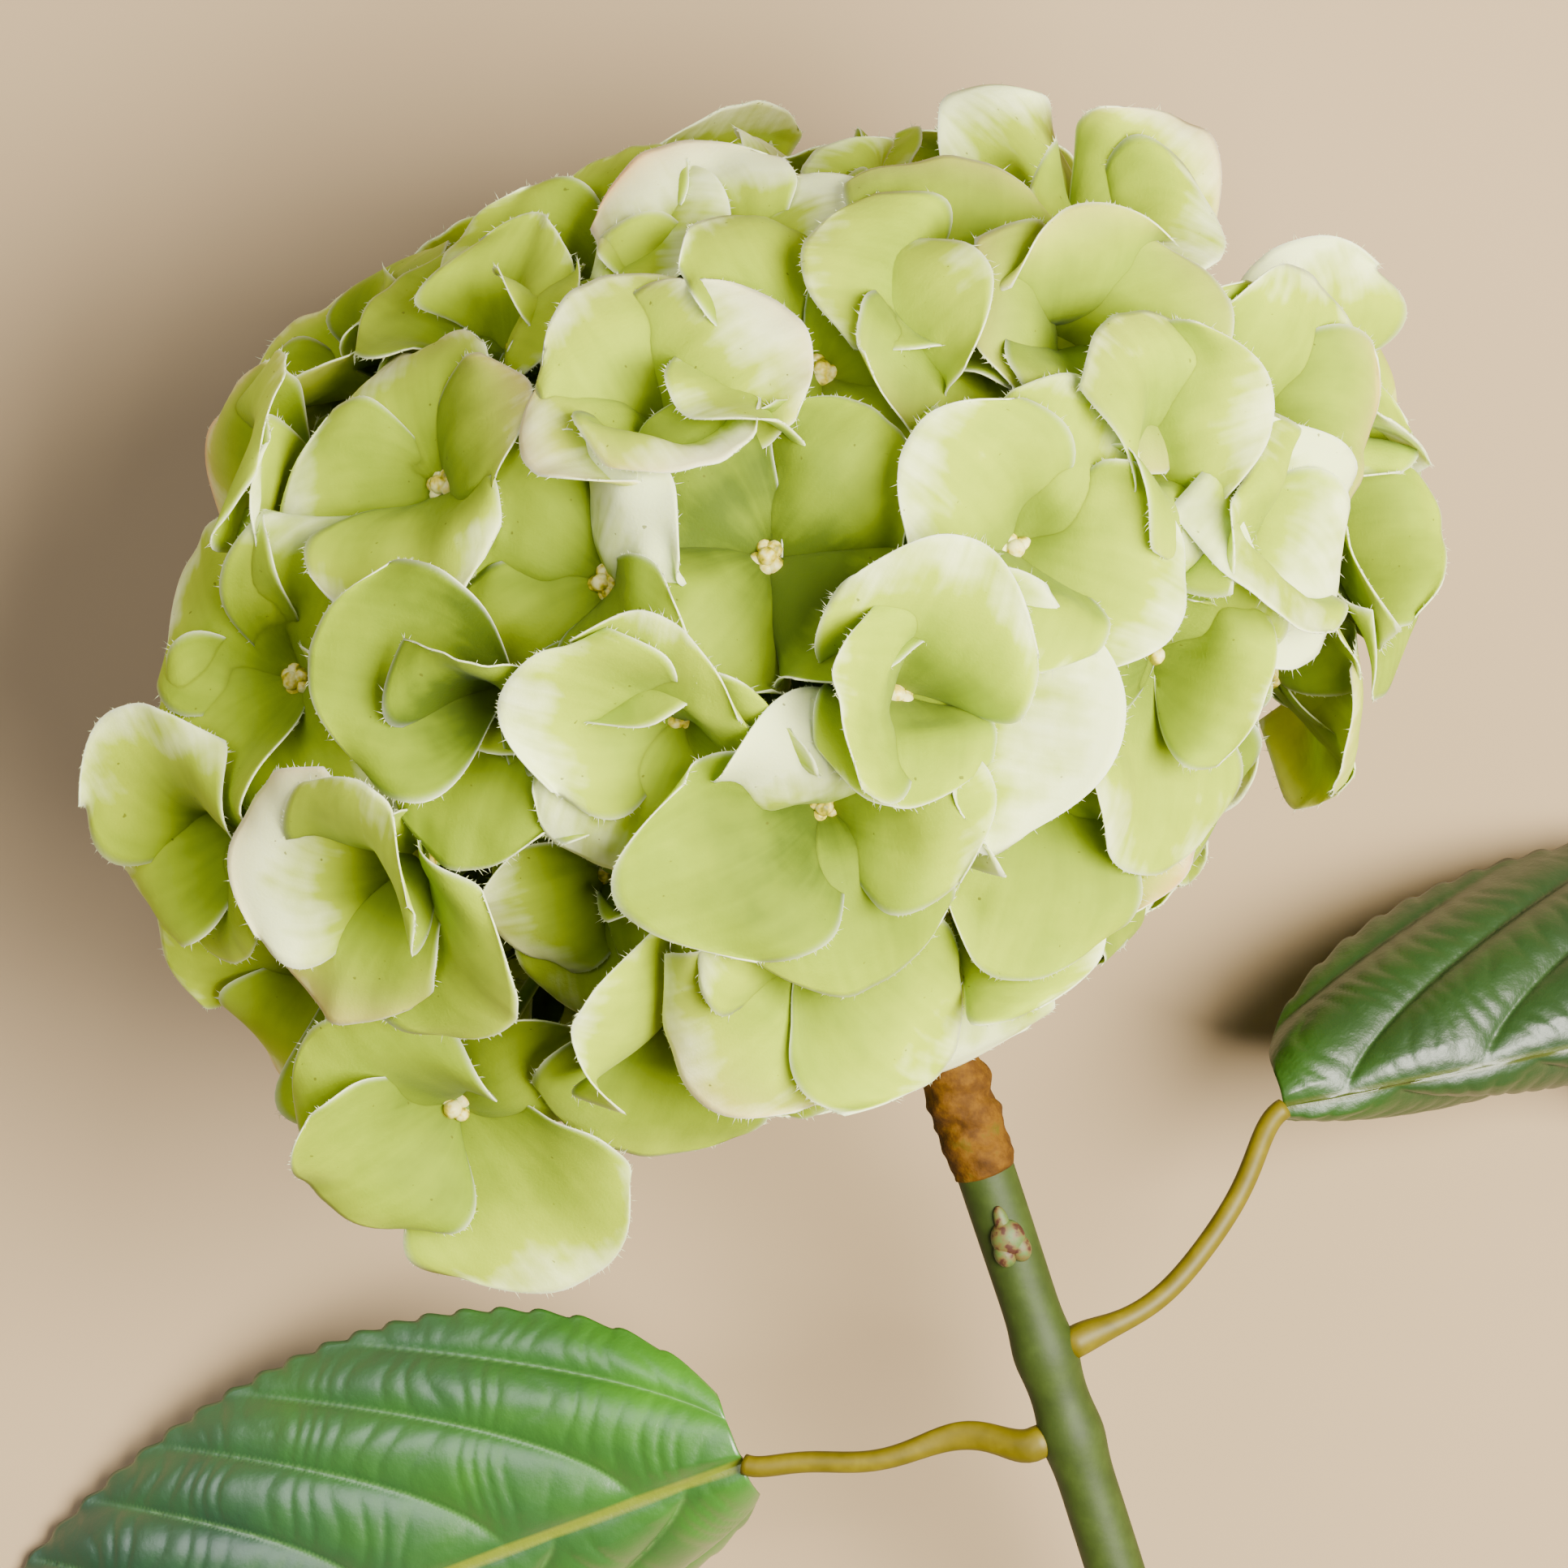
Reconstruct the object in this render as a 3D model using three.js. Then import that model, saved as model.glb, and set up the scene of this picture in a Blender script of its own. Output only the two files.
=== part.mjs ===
// A cut hydrangea stem lying on its side: a mophead of four-petalled florets on a hub, a wrapped
// collar, a cane with two leaf stalks and two leaves. Millimetres, +Z up. The surface it lies on is
// z = 0, and the origin is the middle of the footprint. The crown of the head points to +Y.
import * as THREE from "three";

// Head
const headWidth = 177; // across the mophead, square to the cane
const headHeight = 132; // crown to skirt, along the cane
const headDepth = 158; // off the surface, once its lowest petals are pressed flat
const headLean = 23; // degrees that the head's axis leans to the left of +Y
const headPitch = 12; // degrees that the crown is raised
const hubRadius = 14;
const neckInset = 0.5; // the neck is thinner than the cane by this, so the tape closes over both

// Florets
const floretSpan = 44; // tip to tip, laid flat
const floretRise = 13; // from the bead to the tips, once cupped
const petalThickness = 0.7;
const notchShare = 0.62; // how far the notch between two petals lies out, as a share of the tips
const beadRadius = 2.3;
const beadHeight = 2.4;
const pedicelRadius = 0.85;
const backFlorets = 18;
const midShare = 0.66; // a petal is flat from here to its rim where it lies on the surface
const pressedDepth = 5; // how far above the surface the lowest bead is held by its pressed petals

// Cane, collar and bud
const caneRadius = 3.9;
const caneLength = 240; // from inside the collar to the cut end
const collarStart = 60; // from the head's centre to the collar's upper edge
const collarLength = 20;
const collarWall = 0.55;
const jointInset = 6; // the cane's top is this far below the collar's upper edge
const caneLeanTop = 19; // degrees from -Y, at the collar
const caneLeanFoot = 15; // and at the cut end
const nodeSwell = 0.9; // extra radius where a stalk leaves
const nodeReach = 5; // half the length of such a swelling
const budAt = 29; // along the cane, from the collar's upper edge
const budLength = 9;
const budWidth = 5.6;
const budRise = 1.9;

// Leaves and their stalks
const stalkLength = 38;
const stalkWidth = 3.4;
const stalkDepth = 2.4;
const leafLength = 131;
const leafWidth = 70;
const leafThickness = 0.8;
const rightStalkAt = 46; // along the cane, from the collar's upper edge
const leftStalkAt = 58;
const stalkDrop = 8; // how far a stalk falls from the cane to its leaf
const stalkRoot = 3; // a stalk leaves square to the cane for this long

const gap = 0.3; // between pieces that touch
const endGap = 0.6; // between ends that meet at an angle

// The sides of round sections, and the steps along a leaf
const caneSides = 12;
const stalkSides = 8;
const floretSides = 16;
const leafSteps = 14;

const rad = THREE.MathUtils.degToRad;
const point = (x, y, z) => new THREE.Vector3(x, y, z);
const up = point(0, 0, 1);

// The head's own axes: towards the crown, across it, and out of its upper side.
const crown = point(
  -Math.sin(rad(headLean)) * Math.cos(rad(headPitch)),
  Math.cos(rad(headLean)) * Math.cos(rad(headPitch)),
  Math.sin(rad(headPitch)),
);
const across = point(Math.cos(rad(headLean)), Math.sin(rad(headLean)), 0);
const outward = across.clone().cross(crown);
const caneWay = crown.clone().negate();

// The beads sit on an ellipsoid inside the head's outline.
const seat = {
  across: headWidth / 2 - floretRise,
  crown: headHeight / 2 - floretRise,
  outward: headDepth / 2 - floretRise + pressedDepth / 2,
};
const headCentre = point(0, 0, seat.outward + pressedDepth);

// How far out the seat ellipsoid is in a direction from the head's centre.
function seatDistance(way) {
  const size = Math.hypot(
    way.dot(across) / seat.across,
    way.dot(crown) / seat.crown,
    way.dot(outward) / seat.outward,
  );
  return way.length() / size;
}

// Places of the florets on the upper side, in mm right of and above the head's centre in plan,
// then the turn of the petals in degrees, then how far one hangs out of the rest, if it does.
// They are drawn for a head of the sizes below.
const drawn = { width: 177, height: 132 };
const frontFlorets = [
  [-32, 34, 40], [-41, 16, 20], [-19, 3, 10], [-31, -10, 5], [1, 6, 50],
  [22, 37, 75], [43, 19, 20], [32, 7, 60], [54, 9, 35], [50, -6, 85],
  [17, -11, 30], [8, -25, 70], [36, -22, 10], [7, -40, 45], [-36, -58, 0, 12],
  [-43, -32, 30], [-55, -46, 60], [-66, -26, 15], [-60, -9, 50], [-57, 15, 25],
  [-50, 32, 70], [-19, 42, 0], [-3, 40, 60], [8, 30, 20], [42, 47, 50],
  [37, 33, 5], [60, 24, 65], [73, 30, 30], [74, 10, 0], [68, -8, 40],
  [24, -38, 80], [-10, -50, 20], [-10, -14, 65], [-12, 22, 35],
];

// The direction, from the head's centre, of the seat above a place in plan.
function wayAbove(x, y) {
  const plan = point(x * (headWidth / drawn.width), y * (headHeight / drawn.height), 0);
  const inside = (height) => {
    const at = point(plan.x, plan.y, height);
    return at.length() < seatDistance(at);
  };
  while (!inside(0)) plan.multiplyScalar(0.98);
  let height = 0;
  while (inside(height)) height += 0.25;
  return point(plan.x, plan.y, height).normalize();
}

// Spreads the remaining florets over the underside, each pushed away from its neighbours.
function waysBelow(fixed, count) {
  const goldenAngle = Math.PI * (3 - Math.sqrt(5));
  const ways = Array.from({ length: count }, (_, i) => {
    const fall = (i + 0.5) / count;
    const reach = Math.sqrt(1 - fall * fall);
    const turn = i * goldenAngle;
    return point(reach * Math.cos(turn), reach * Math.sin(turn), -fall);
  });
  const rounds = 60;
  const push = 0.004;
  for (let round = 0; round < rounds; round++) {
    for (const way of ways) {
      for (const other of [...fixed, ...ways]) {
        if (other === way) continue;
        const apart = way.clone().sub(other);
        way.addScaledVector(apart, push / Math.max(apart.lengthSq(), 0.02));
      }
      way.normalize();
    }
  }
  return ways;
}

// Skins a list of rings of points into one closed body, with a pole at each end.
function skin(rings, firstPole, lastPole) {
  const count = rings[0].length;
  const points = [firstPole, ...rings.flat(), lastPole];
  const faces = [];
  const at = (ring, i) => 1 + ring * count + (i % count);
  for (let i = 0; i < count; i++) {
    faces.push(0, at(0, i + 1), at(0, i));
    for (let ring = 0; ring + 1 < rings.length; ring++) {
      faces.push(at(ring, i), at(ring, i + 1), at(ring + 1, i));
      faces.push(at(ring, i + 1), at(ring + 1, i + 1), at(ring + 1, i));
    }
    faces.push(points.length - 1, at(rings.length - 1, i), at(rings.length - 1, i + 1));
  }
  let volume = 0;
  for (let i = 0; i < faces.length; i += 3) {
    const [a, b, c] = faces.slice(i, i + 3).map((index) => points[index]);
    volume += a.dot(b.clone().cross(c)) / 6;
  }
  if (volume < 0) faces.reverse();
  const geometry = new THREE.BufferGeometry().setFromPoints(points);
  geometry.setIndex(faces);
  geometry.computeVertexNormals();
  return geometry;
}

// A solid rod along points, with its own half width and half depth at each.
// side(i) is the direction of the width there.
function rod(path, sides, halfWidth, halfDepth, side) {
  const rings = path.map((centre, i) => {
    const along = path[Math.min(i + 1, path.length - 1)].clone().sub(path[Math.max(i - 1, 0)]);
    along.normalize();
    const wide = side(i).clone().projectOnPlane(along).normalize();
    const deep = along.clone().cross(wide);
    return Array.from({ length: sides }, (_, k) => {
      const turn = (2 * Math.PI * k) / sides;
      return centre
        .clone()
        .addScaledVector(wide, halfWidth(i) * Math.cos(turn))
        .addScaledVector(deep, halfDepth(i) * Math.sin(turn));
    });
  });
  return skin(rings, path[0].clone(), path[path.length - 1].clone());
}

const finishes = {
  petal: { color: 0xd5e09a, roughness: 0.85 },
  hub: { color: 0x6b8a35, roughness: 0.6 },
  cane: { color: 0x83984f, roughness: 0.55 },
  collar: { color: 0x9a5a14, roughness: 0.9 },
  bud: { color: 0x93a564, roughness: 0.6 },
  stalk: { color: 0xb79a16, roughness: 0.5 },
  leaf: { color: 0x2f7a2c, roughness: 0.4 },
};
const object = new THREE.Group();

function add(name, geometry, finish) {
  const material = new THREE.MeshStandardMaterial({ metalness: 0, ...finishes[finish] });
  const mesh = new THREE.Mesh(geometry, material);
  mesh.name = name;
  object.add(mesh);
  return mesh;
}

// The cane's line: its lean eases from the collar to the foot, and it falls evenly until its cut
// end lies on the surface.
const collarTop = headCentre.clone().addScaledVector(caneWay, collarStart);
const caneSteps = 16;
const caneFall = (collarTop.z - caneRadius) / (caneLength + jointInset);

function cane(distance) {
  const steps = 40;
  const at = collarTop.clone();
  const level = Math.sqrt(1 - caneFall * caneFall);
  for (let i = 0; i < steps; i++) {
    const share = ((i + 0.5) / steps) * (distance / caneLength);
    const lean = rad(THREE.MathUtils.lerp(caneLeanTop, caneLeanFoot, share));
    const step = distance / steps;
    at.x += Math.sin(lean) * level * step;
    at.y -= Math.cos(lean) * level * step;
    at.z -= caneFall * step;
  }
  return at;
}

function caneDirection(distance) {
  return cane(distance + 1).sub(cane(distance - 1)).normalize();
}

function swell(distance) {
  const near = (node) => Math.max(0, 1 - Math.abs(distance - node) / nodeReach);
  return nodeSwell * Math.max(near(rightStalkAt), near(leftStalkAt));
}

// Cane
const caneStations = [];
for (let i = 0; i <= caneSteps; i++) {
  caneStations.push(jointInset + (caneLength * i) / caneSteps);
}
for (const node of [rightStalkAt, leftStalkAt]) {
  caneStations.push(node - nodeReach, node, node + nodeReach);
}
caneStations.sort((a, b) => a - b);
const caneGap = 2; // stations closer than this are one
const stations = caneStations.filter((s, i) => i === 0 || s - caneStations[i - 1] > caneGap);
const caneHalf = (i) => caneRadius + swell(stations[i]);
add("cane", rod(stations.map(cane), caneSides, caneHalf, caneHalf, () => across), "cane");

// Hub: a ball on a neck, which meets the cane inside the collar.
const neckRadius = caneRadius - neckInset;
const neckEnd = collarStart + jointInset - endGap;
const ballSteps = 8;
const hubProfile = [new THREE.Vector2(0, -neckEnd), new THREE.Vector2(neckRadius, -neckEnd)];
const neckAngle = Math.asin(neckRadius / hubRadius);
for (let i = 0; i <= ballSteps; i++) {
  const angle = THREE.MathUtils.lerp(neckAngle, Math.PI, i / ballSteps);
  const radius = i === ballSteps ? 0 : hubRadius * Math.sin(angle);
  hubProfile.push(new THREE.Vector2(radius, -hubRadius * Math.cos(angle)));
}
const hub = add("flower_hub", new THREE.LatheGeometry(hubProfile, caneSides), "hub");
hub.quaternion.setFromUnitVectors(point(0, 1, 0), crown);
hub.position.copy(headCentre);

// Collar: tape wound over the joint of neck and cane.
const collarInner = caneRadius + gap;
const collarOuter = collarInner + collarWall;
const collarProfile = [
  new THREE.Vector2(collarInner, 0),
  new THREE.Vector2(collarOuter, 0),
  new THREE.Vector2(collarOuter, collarLength),
  new THREE.Vector2(collarInner, collarLength),
  new THREE.Vector2(collarInner, 0),
];
const collar = add("tape_collar", new THREE.LatheGeometry(collarProfile, 2 * caneSides), "collar");
const collarMiddle = jointInset + (collarLength - jointInset) / 2;
const collarWay = caneDirection(collarMiddle);
collar.quaternion.setFromUnitVectors(point(0, 1, 0), collarWay);
collar.position.copy(cane(collarMiddle)).addScaledVector(collarWay, -collarMiddle);

// Bud: a low lens on the cane's upper side.
const budCentre = cane(budAt);
const budWay = caneDirection(budAt);
const budOut = up.clone().projectOnPlane(budWay).normalize();
const budSide = budWay.clone().cross(budOut);
const budBase = budCentre.clone().addScaledVector(budOut, caneRadius + gap);
const budRings = [0.05, 1, 0.75].map((share, ring) =>
  Array.from({ length: caneSides }, (_, k) => {
    const turn = (2 * Math.PI * k) / caneSides;
    return budBase
      .clone()
      .addScaledVector(budWay, (budLength / 2) * share * Math.cos(turn))
      .addScaledVector(budSide, (budWidth / 2) * share * Math.sin(turn))
      .addScaledVector(budOut, ring === 2 ? budRise * 0.7 : 0);
  }),
);
add("bud", skin(budRings, budBase.clone(), budBase.clone().addScaledVector(budOut, budRise)), "bud");

// A leaf stalk leaves the cane sideways. Its plan is given as shares of its length.
const stalkPlans = {
  right: [[0, 0], [0.17, 0.08], [0.36, 0.28], [0.5, 0.49], [0.57, 0.67], [0.64, 0.76]],
  left: [[0, 0], [-0.06, 0.04], [-0.15, 0.05], [-0.4, -0.03], [-0.67, -0.06], [-0.94, -0.07]],
};
const stalkSteps = 12;

function stalkPath(side, at) {
  const way = side === "right" ? 1 : -1;
  const sideways = across.clone().multiplyScalar(way).projectOnPlane(caneDirection(at)).normalize();
  const foot = cane(at).addScaledVector(sideways, caneRadius + nodeSwell + gap);
  const start = foot.clone().addScaledVector(sideways, stalkRoot);
  const points = stalkPlans[side].map(([x, y], i, all) =>
    point(
      start.x + x * stalkLength,
      start.y + y * stalkLength,
      start.z - (stalkDrop * i) / (all.length - 1),
    ),
  );
  return [foot, ...new THREE.CatmullRomCurve3(points).getPoints(stalkSteps)];
}

// How wide a leaf is at a share of its length, as a share of its greatest width: full towards
// the base, drawn out to the tip.
const leafFull = 0.5;
const leafDrawn = 0.8;
function leafShape(share) {
  const widestAt = leafFull / (leafFull + leafDrawn);
  const widest = widestAt ** leafFull * (1 - widestAt) ** leafDrawn;
  return (share ** leafFull * (1 - share) ** leafDrawn) / widest;
}

// A leaf starts at its stalk's end, falls along its rib until its tip lies on the surface, and
// each half of the blade drops from the rib by its own angle, or less where it meets the surface.
// droop(share) is how high the rib still is, as a share of its height at the base.
function leaf(base, heading, folds, droop) {
  const way = point(Math.cos(rad(heading)), Math.sin(rad(heading)), 0);
  const crossways = up.clone().cross(way); // to the left of the rib
  const rib = base.clone().addScaledVector(way, endGap);
  const fall = rib.z - leafThickness;
  const reach = Math.sqrt(leafLength ** 2 - fall ** 2);
  const acrossSteps = [-1, -0.55, 0, 0.55, 1];
  const rings = [];
  for (let i = 0; i <= leafSteps; i++) {
    const share = i / leafSteps;
    const middle = rib.clone().addScaledVector(way, reach * share);
    middle.z = leafThickness + fall * droop(share);
    const half = (leafWidth / 2) * leafShape(THREE.MathUtils.lerp(0.015, 0.985, share));
    const upper = [];
    const lower = [];
    for (const s of acrossSteps) {
      const wanted = rad(folds[s < 0 ? 1 : 0]) * (0.75 + 0.25 * Math.abs(s));
      const most = Math.asin(Math.min(1, Math.max(0, middle.z - leafThickness) / half));
      const fold = Math.min(wanted, most);
      const out = Math.abs(s) * half;
      const at = middle
        .clone()
        .addScaledVector(crossways, Math.sign(s) * out * Math.cos(fold))
        .addScaledVector(up, -out * Math.sin(fold));
      const normal = up
        .clone()
        .multiplyScalar(Math.cos(fold))
        .addScaledVector(crossways, Math.sign(s) * Math.sin(fold));
      upper.push(at.clone().addScaledVector(normal, leafThickness / 2));
      lower.unshift(at.clone().addScaledVector(normal, -leafThickness / 2));
    }
    rings.push([...upper, ...lower]);
  }
  const middleOf = (ring) =>
    ring.reduce((sum, p) => sum.add(p), point(0, 0, 0)).divideScalar(ring.length);
  return skin(rings, middleOf(rings[0]), middleOf(rings[rings.length - 1]));
}

const leafHeadings = { right: 11, left: 202 }; // degrees from +X
const leafFolds = { right: [42, 88], left: [60, 12] }; // left half and right half of the blade
const leafDroops = { right: (share) => 1 - share ** 1.7, left: (share) => (1 - share) ** 1.25 };
for (const [side, at] of [["right", rightStalkAt], ["left", leftStalkAt]]) {
  const path = stalkPath(side, at);
  const half = (size) => (i) => (size / 2) * (1 + 0.35 * Math.max(0, 1 - Math.abs(i - 2) / 2));
  add(
    `leaf_stalk_${side}`,
    rod(path, stalkSides, half(stalkWidth), half(stalkDepth), () => up),
    "stalk",
  );
  const base = path[path.length - 1].clone();
  add(`leaf_${side}`, leaf(base, leafHeadings[side], leafFolds[side], leafDroops[side]), "leaf");
}

// Florets. Each stays inside its own cone from the head's centre, so none meets another.
const ways = frontFlorets.map(([x, y]) => wayAbove(x, y));
ways.push(...waysBelow([...ways, caneWay], backFlorets));
const turns = frontFlorets.map(([, , turn]) => turn);
const hangs = frontFlorets.map(([, , , hang = 0]) => hang);
for (let i = 0; i < backFlorets; i++) {
  turns.push((i * 37) % 90);
  hangs.push(0);
}

const neckClear = rad(13); // half the cone that the neck and collar keep

function conesRound(way) {
  const walls = ways
    .filter((other) => other !== way)
    .map((other) => other.clone().sub(way).normalize());
  const side = way.clone().addScaledVector(caneWay, -way.dot(caneWay)).normalize();
  walls.push(
    caneWay.clone().multiplyScalar(Math.sin(neckClear)).addScaledVector(side, -Math.cos(neckClear)),
  );
  return walls;
}

function floret(way, turn, hang) {
  const distance = seatDistance(way) + hang;
  const walls = conesRound(way);
  const right = up.clone().cross(way);
  if (right.lengthSq() < 0.01) right.set(1, 0, 0).projectOnPlane(way);
  right.normalize();
  const above = way.clone().cross(right);
  const centre = way.clone().multiplyScalar(distance);
  const cup = (share) => floretRise * (1.25 * share - 0.25 * share * share) * share;
  const place = (out, height, angle) =>
    centre
      .clone()
      .addScaledVector(right, out * Math.cos(angle))
      .addScaledVector(above, out * Math.sin(angle))
      .addScaledVector(way, height);
  const fits = (out, angle, reach) => {
    const at = place(out, cup(out / reach) - petalThickness, angle);
    return walls.every((wall) => wall.dot(at) < -gap / 2);
  };
  const rows = {
    foot: [], neck: [], underMid: [], underRim: [], rim: [], mid: [], beadFoot: [],
  };
  for (let k = 0; k < floretSides; k++) {
    const angle = (2 * Math.PI * k) / floretSides + rad(turn);
    const lobe = Math.abs(Math.cos((2 * Math.PI * k * 2) / floretSides));
    const open = (floretSpan / 2) * (notchShare + (1 - notchShare) * Math.sqrt(lobe));
    let reach = open;
    while (!fits(reach, angle, open) && reach > pedicelRadius) reach *= 0.96;
    const half = reach * midShare;
    const bead = Math.min(beadRadius, half);
    rows.foot.push(place(pedicelRadius, hubRadius + gap - distance, angle));
    rows.neck.push(place(pedicelRadius, -2 * petalThickness, angle));
    rows.underMid.push(place(half, cup(half / open) - petalThickness, angle));
    rows.underRim.push(place(reach, cup(reach / open) - petalThickness, angle));
    rows.rim.push(place(reach, cup(reach / open), angle));
    rows.mid.push(place(half, cup(half / open), angle));
    rows.beadFoot.push(place(bead, Math.max(0.5, cup(bead / open)), angle));
  }
  const rings = Object.values(rows);
  // The petals that reach the surface are pressed flat on it, each point in line with the centre.
  const press = (row, height) => {
    for (const p of row) {
      if (p.z < height - headCentre.z) p.multiplyScalar((height - headCentre.z) / p.z);
    }
  };
  [rows.rim, rows.mid, rows.beadFoot].forEach((row) => press(row, 0));
  [rows.underRim, rows.underMid].forEach((row) => press(row, petalThickness));
  const foot = way.clone().multiplyScalar(hubRadius + gap);
  const tip = way.clone().multiplyScalar(distance + beadHeight);
  press([tip], 0);
  [...rings.flat(), foot, tip].forEach((p) => p.add(headCentre));
  return skin(rings, foot, tip);
}

ways.forEach((way, i) => {
  const name = `floret_${String(i + 1).padStart(2, "0")}`;
  add(name, floret(way, turns[i], hangs[i]), "petal");
});

// The origin is the middle of the footprint, on the surface.
object.updateMatrixWorld(true);
const box = new THREE.Box3().setFromObject(object, true);
const middle = box.getCenter(point(0, 0, 0));
object.position.set(-middle.x, -middle.y, -box.min.z);

export default object;
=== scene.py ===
import math
import bpy
import numpy as np
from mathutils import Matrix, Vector


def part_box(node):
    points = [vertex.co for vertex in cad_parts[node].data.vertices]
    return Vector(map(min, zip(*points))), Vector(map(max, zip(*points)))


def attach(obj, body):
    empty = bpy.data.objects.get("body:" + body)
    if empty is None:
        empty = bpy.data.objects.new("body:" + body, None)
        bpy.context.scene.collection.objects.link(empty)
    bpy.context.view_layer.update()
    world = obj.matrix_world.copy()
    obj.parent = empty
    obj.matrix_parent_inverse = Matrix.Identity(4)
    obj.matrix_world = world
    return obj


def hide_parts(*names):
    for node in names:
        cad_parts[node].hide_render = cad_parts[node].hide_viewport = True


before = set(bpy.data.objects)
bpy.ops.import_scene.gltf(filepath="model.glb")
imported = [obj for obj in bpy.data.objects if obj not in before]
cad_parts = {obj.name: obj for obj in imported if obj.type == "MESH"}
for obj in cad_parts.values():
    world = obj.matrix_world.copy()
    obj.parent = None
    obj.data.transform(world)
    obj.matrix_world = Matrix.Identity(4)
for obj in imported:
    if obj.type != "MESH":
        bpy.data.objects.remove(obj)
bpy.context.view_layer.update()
mm = 0.001
print("frame loaded")


def linear(colour):  # sRGB hex to the linear values that shaders take
    parts = [int(colour[i:i + 2], 16) / 255 for i in (0, 2, 4)]
    return tuple(c / 12.92 if c <= 0.04045 else ((c + 0.055) / 1.055) ** 2.4 for c in parts) + (1.0,)


def unit(v):
    return v / np.maximum(np.linalg.norm(v, axis=-1, keepdims=True), 1e-9)


def connect(material, node, inputs):  # an input takes a plain value, or a link from another node
    for name, value in inputs.items():
        if isinstance(value, bpy.types.NodeSocket):
            material.node_tree.links.new(value, node.inputs[name])
        else:
            node.inputs[name].default_value = value


def addNode(material, kind, inputs, out=0, stops=None, **settings):  # stops are a ramp's (place, sRGB hex)
    node = material.node_tree.nodes.new(kind)
    for name, value in settings.items():
        setattr(node, name, value)
    if stops:
        while len(node.color_ramp.elements) < len(stops):
            node.color_ramp.elements.new(0.5)
        for element, (place, colour) in zip(node.color_ramp.elements, stops):
            element.position = place
            element.color = linear(colour)
    connect(material, node, inputs)
    return node.outputs[out]


def newMaterial(name):
    material = bpy.data.materials.new(name)
    material.use_nodes = True
    return material, material.node_tree.nodes["Principled BSDF"]


def makeMesh(name, points, faces, materials, faceSlots=None, attributes=None):  # points in mm
    mesh = bpy.data.meshes.new(name)
    loops = np.concatenate([f.ravel() for f in faces])
    totals = np.concatenate([np.full(len(f), f.shape[1]) for f in faces])
    starts = np.concatenate([[0], np.cumsum(totals)[:-1]])
    mesh.vertices.add(len(points))
    mesh.vertices.foreach_set("co", (np.asarray(points) * mm).astype(np.float32).ravel())
    mesh.loops.add(len(loops))
    mesh.loops.foreach_set("vertex_index", loops.astype(np.int32))
    mesh.polygons.add(len(totals))
    mesh.polygons.foreach_set("loop_start", starts.astype(np.int32))
    mesh.polygons.foreach_set("loop_total", totals.astype(np.int32))
    mesh.polygons.foreach_set("use_smooth", np.ones(len(totals), bool))
    if faceSlots is not None:
        mesh.polygons.foreach_set("material_index", np.concatenate(faceSlots).astype(np.int32))
    for key, values in (attributes or {}).items():
        layer = mesh.attributes.new(key, "FLOAT", "POINT")
        layer.data.foreach_set("value", np.asarray(values, np.float32))
    mesh.update(calc_edges=True)
    mesh.validate()
    piece = bpy.data.objects.new(name, mesh)
    bpy.context.scene.collection.objects.link(piece)
    for material in materials:
        mesh.materials.append(material)
    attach(piece, "root")
    return piece


def gridFaces(rows, columns, start=0, wrap=False):
    r, c = np.meshgrid(np.arange(rows - 1), np.arange(columns if wrap else columns - 1), indexing="ij")
    nextC = (c + 1) % columns
    quads = np.stack([r * columns + c, r * columns + nextC,
                      (r + 1) * columns + nextC, (r + 1) * columns + c], axis=-1)
    return quads.reshape(-1, 4) + start


def splineMatrix(controls, samples):  # rows of weights for a smooth line through the end controls
    matrix = np.zeros((samples, controls + 2))
    for row, t in enumerate(np.linspace(0, controls - 1, samples)):
        k = min(int(t), controls - 2)
        f = t - k
        matrix[row, k:k + 4] = [(1 - f) ** 3 / 6, (3 * f ** 3 - 6 * f ** 2 + 4) / 6,
                                (-3 * f ** 3 + 3 * f ** 2 + 3 * f + 1) / 6, f ** 3 / 6]
    inner = matrix[:, 1:-1].copy()
    inner[:, 0] += 2 * matrix[:, 0]
    inner[:, 1] -= matrix[:, 0]
    inner[:, -1] += 2 * matrix[:, -1]
    inner[:, -2] -= matrix[:, -1]
    return inner


def nodePoints(node):  # a CAD node's vertices in mm
    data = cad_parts[node].data
    co = np.zeros(len(data.vertices) * 3, np.float32)
    data.vertices.foreach_get("co", co)
    return co.reshape(-1, 3).astype(float) / mm


def centreLine(node, samples, degree):  # a smooth line down the middle of a long CAD node
    points = nodePoints(node)
    middle = points.mean(axis=0)
    axis = np.linalg.svd(points - middle, full_matrices=False)[2][0]
    reach = (points - middle) @ axis
    span = np.linspace(reach.min(), reach.max(), samples)
    return np.stack([np.polyval(np.polyfit(reach, points[:, i], degree), span) for i in range(3)], axis=1)


def tubeRings(path, radii, sides, flatten=None):  # rings round a path, in mm
    along = unit(np.gradient(path, axis=0))
    side = unit(np.cross(along, np.array([0.0, 0.0, 1.0])))
    deep = np.cross(side, along)
    turn = np.linspace(0, 2 * np.pi, sides, endpoint=False)
    flat = np.ones(len(path)) if flatten is None else flatten
    return (path[:, None] + radii[:, None, None] * (
        np.cos(turn)[None, :, None] * side[:, None] * flat[:, None, None]
        + np.sin(turn)[None, :, None] * deep[:, None] / flat[:, None, None]))


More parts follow.
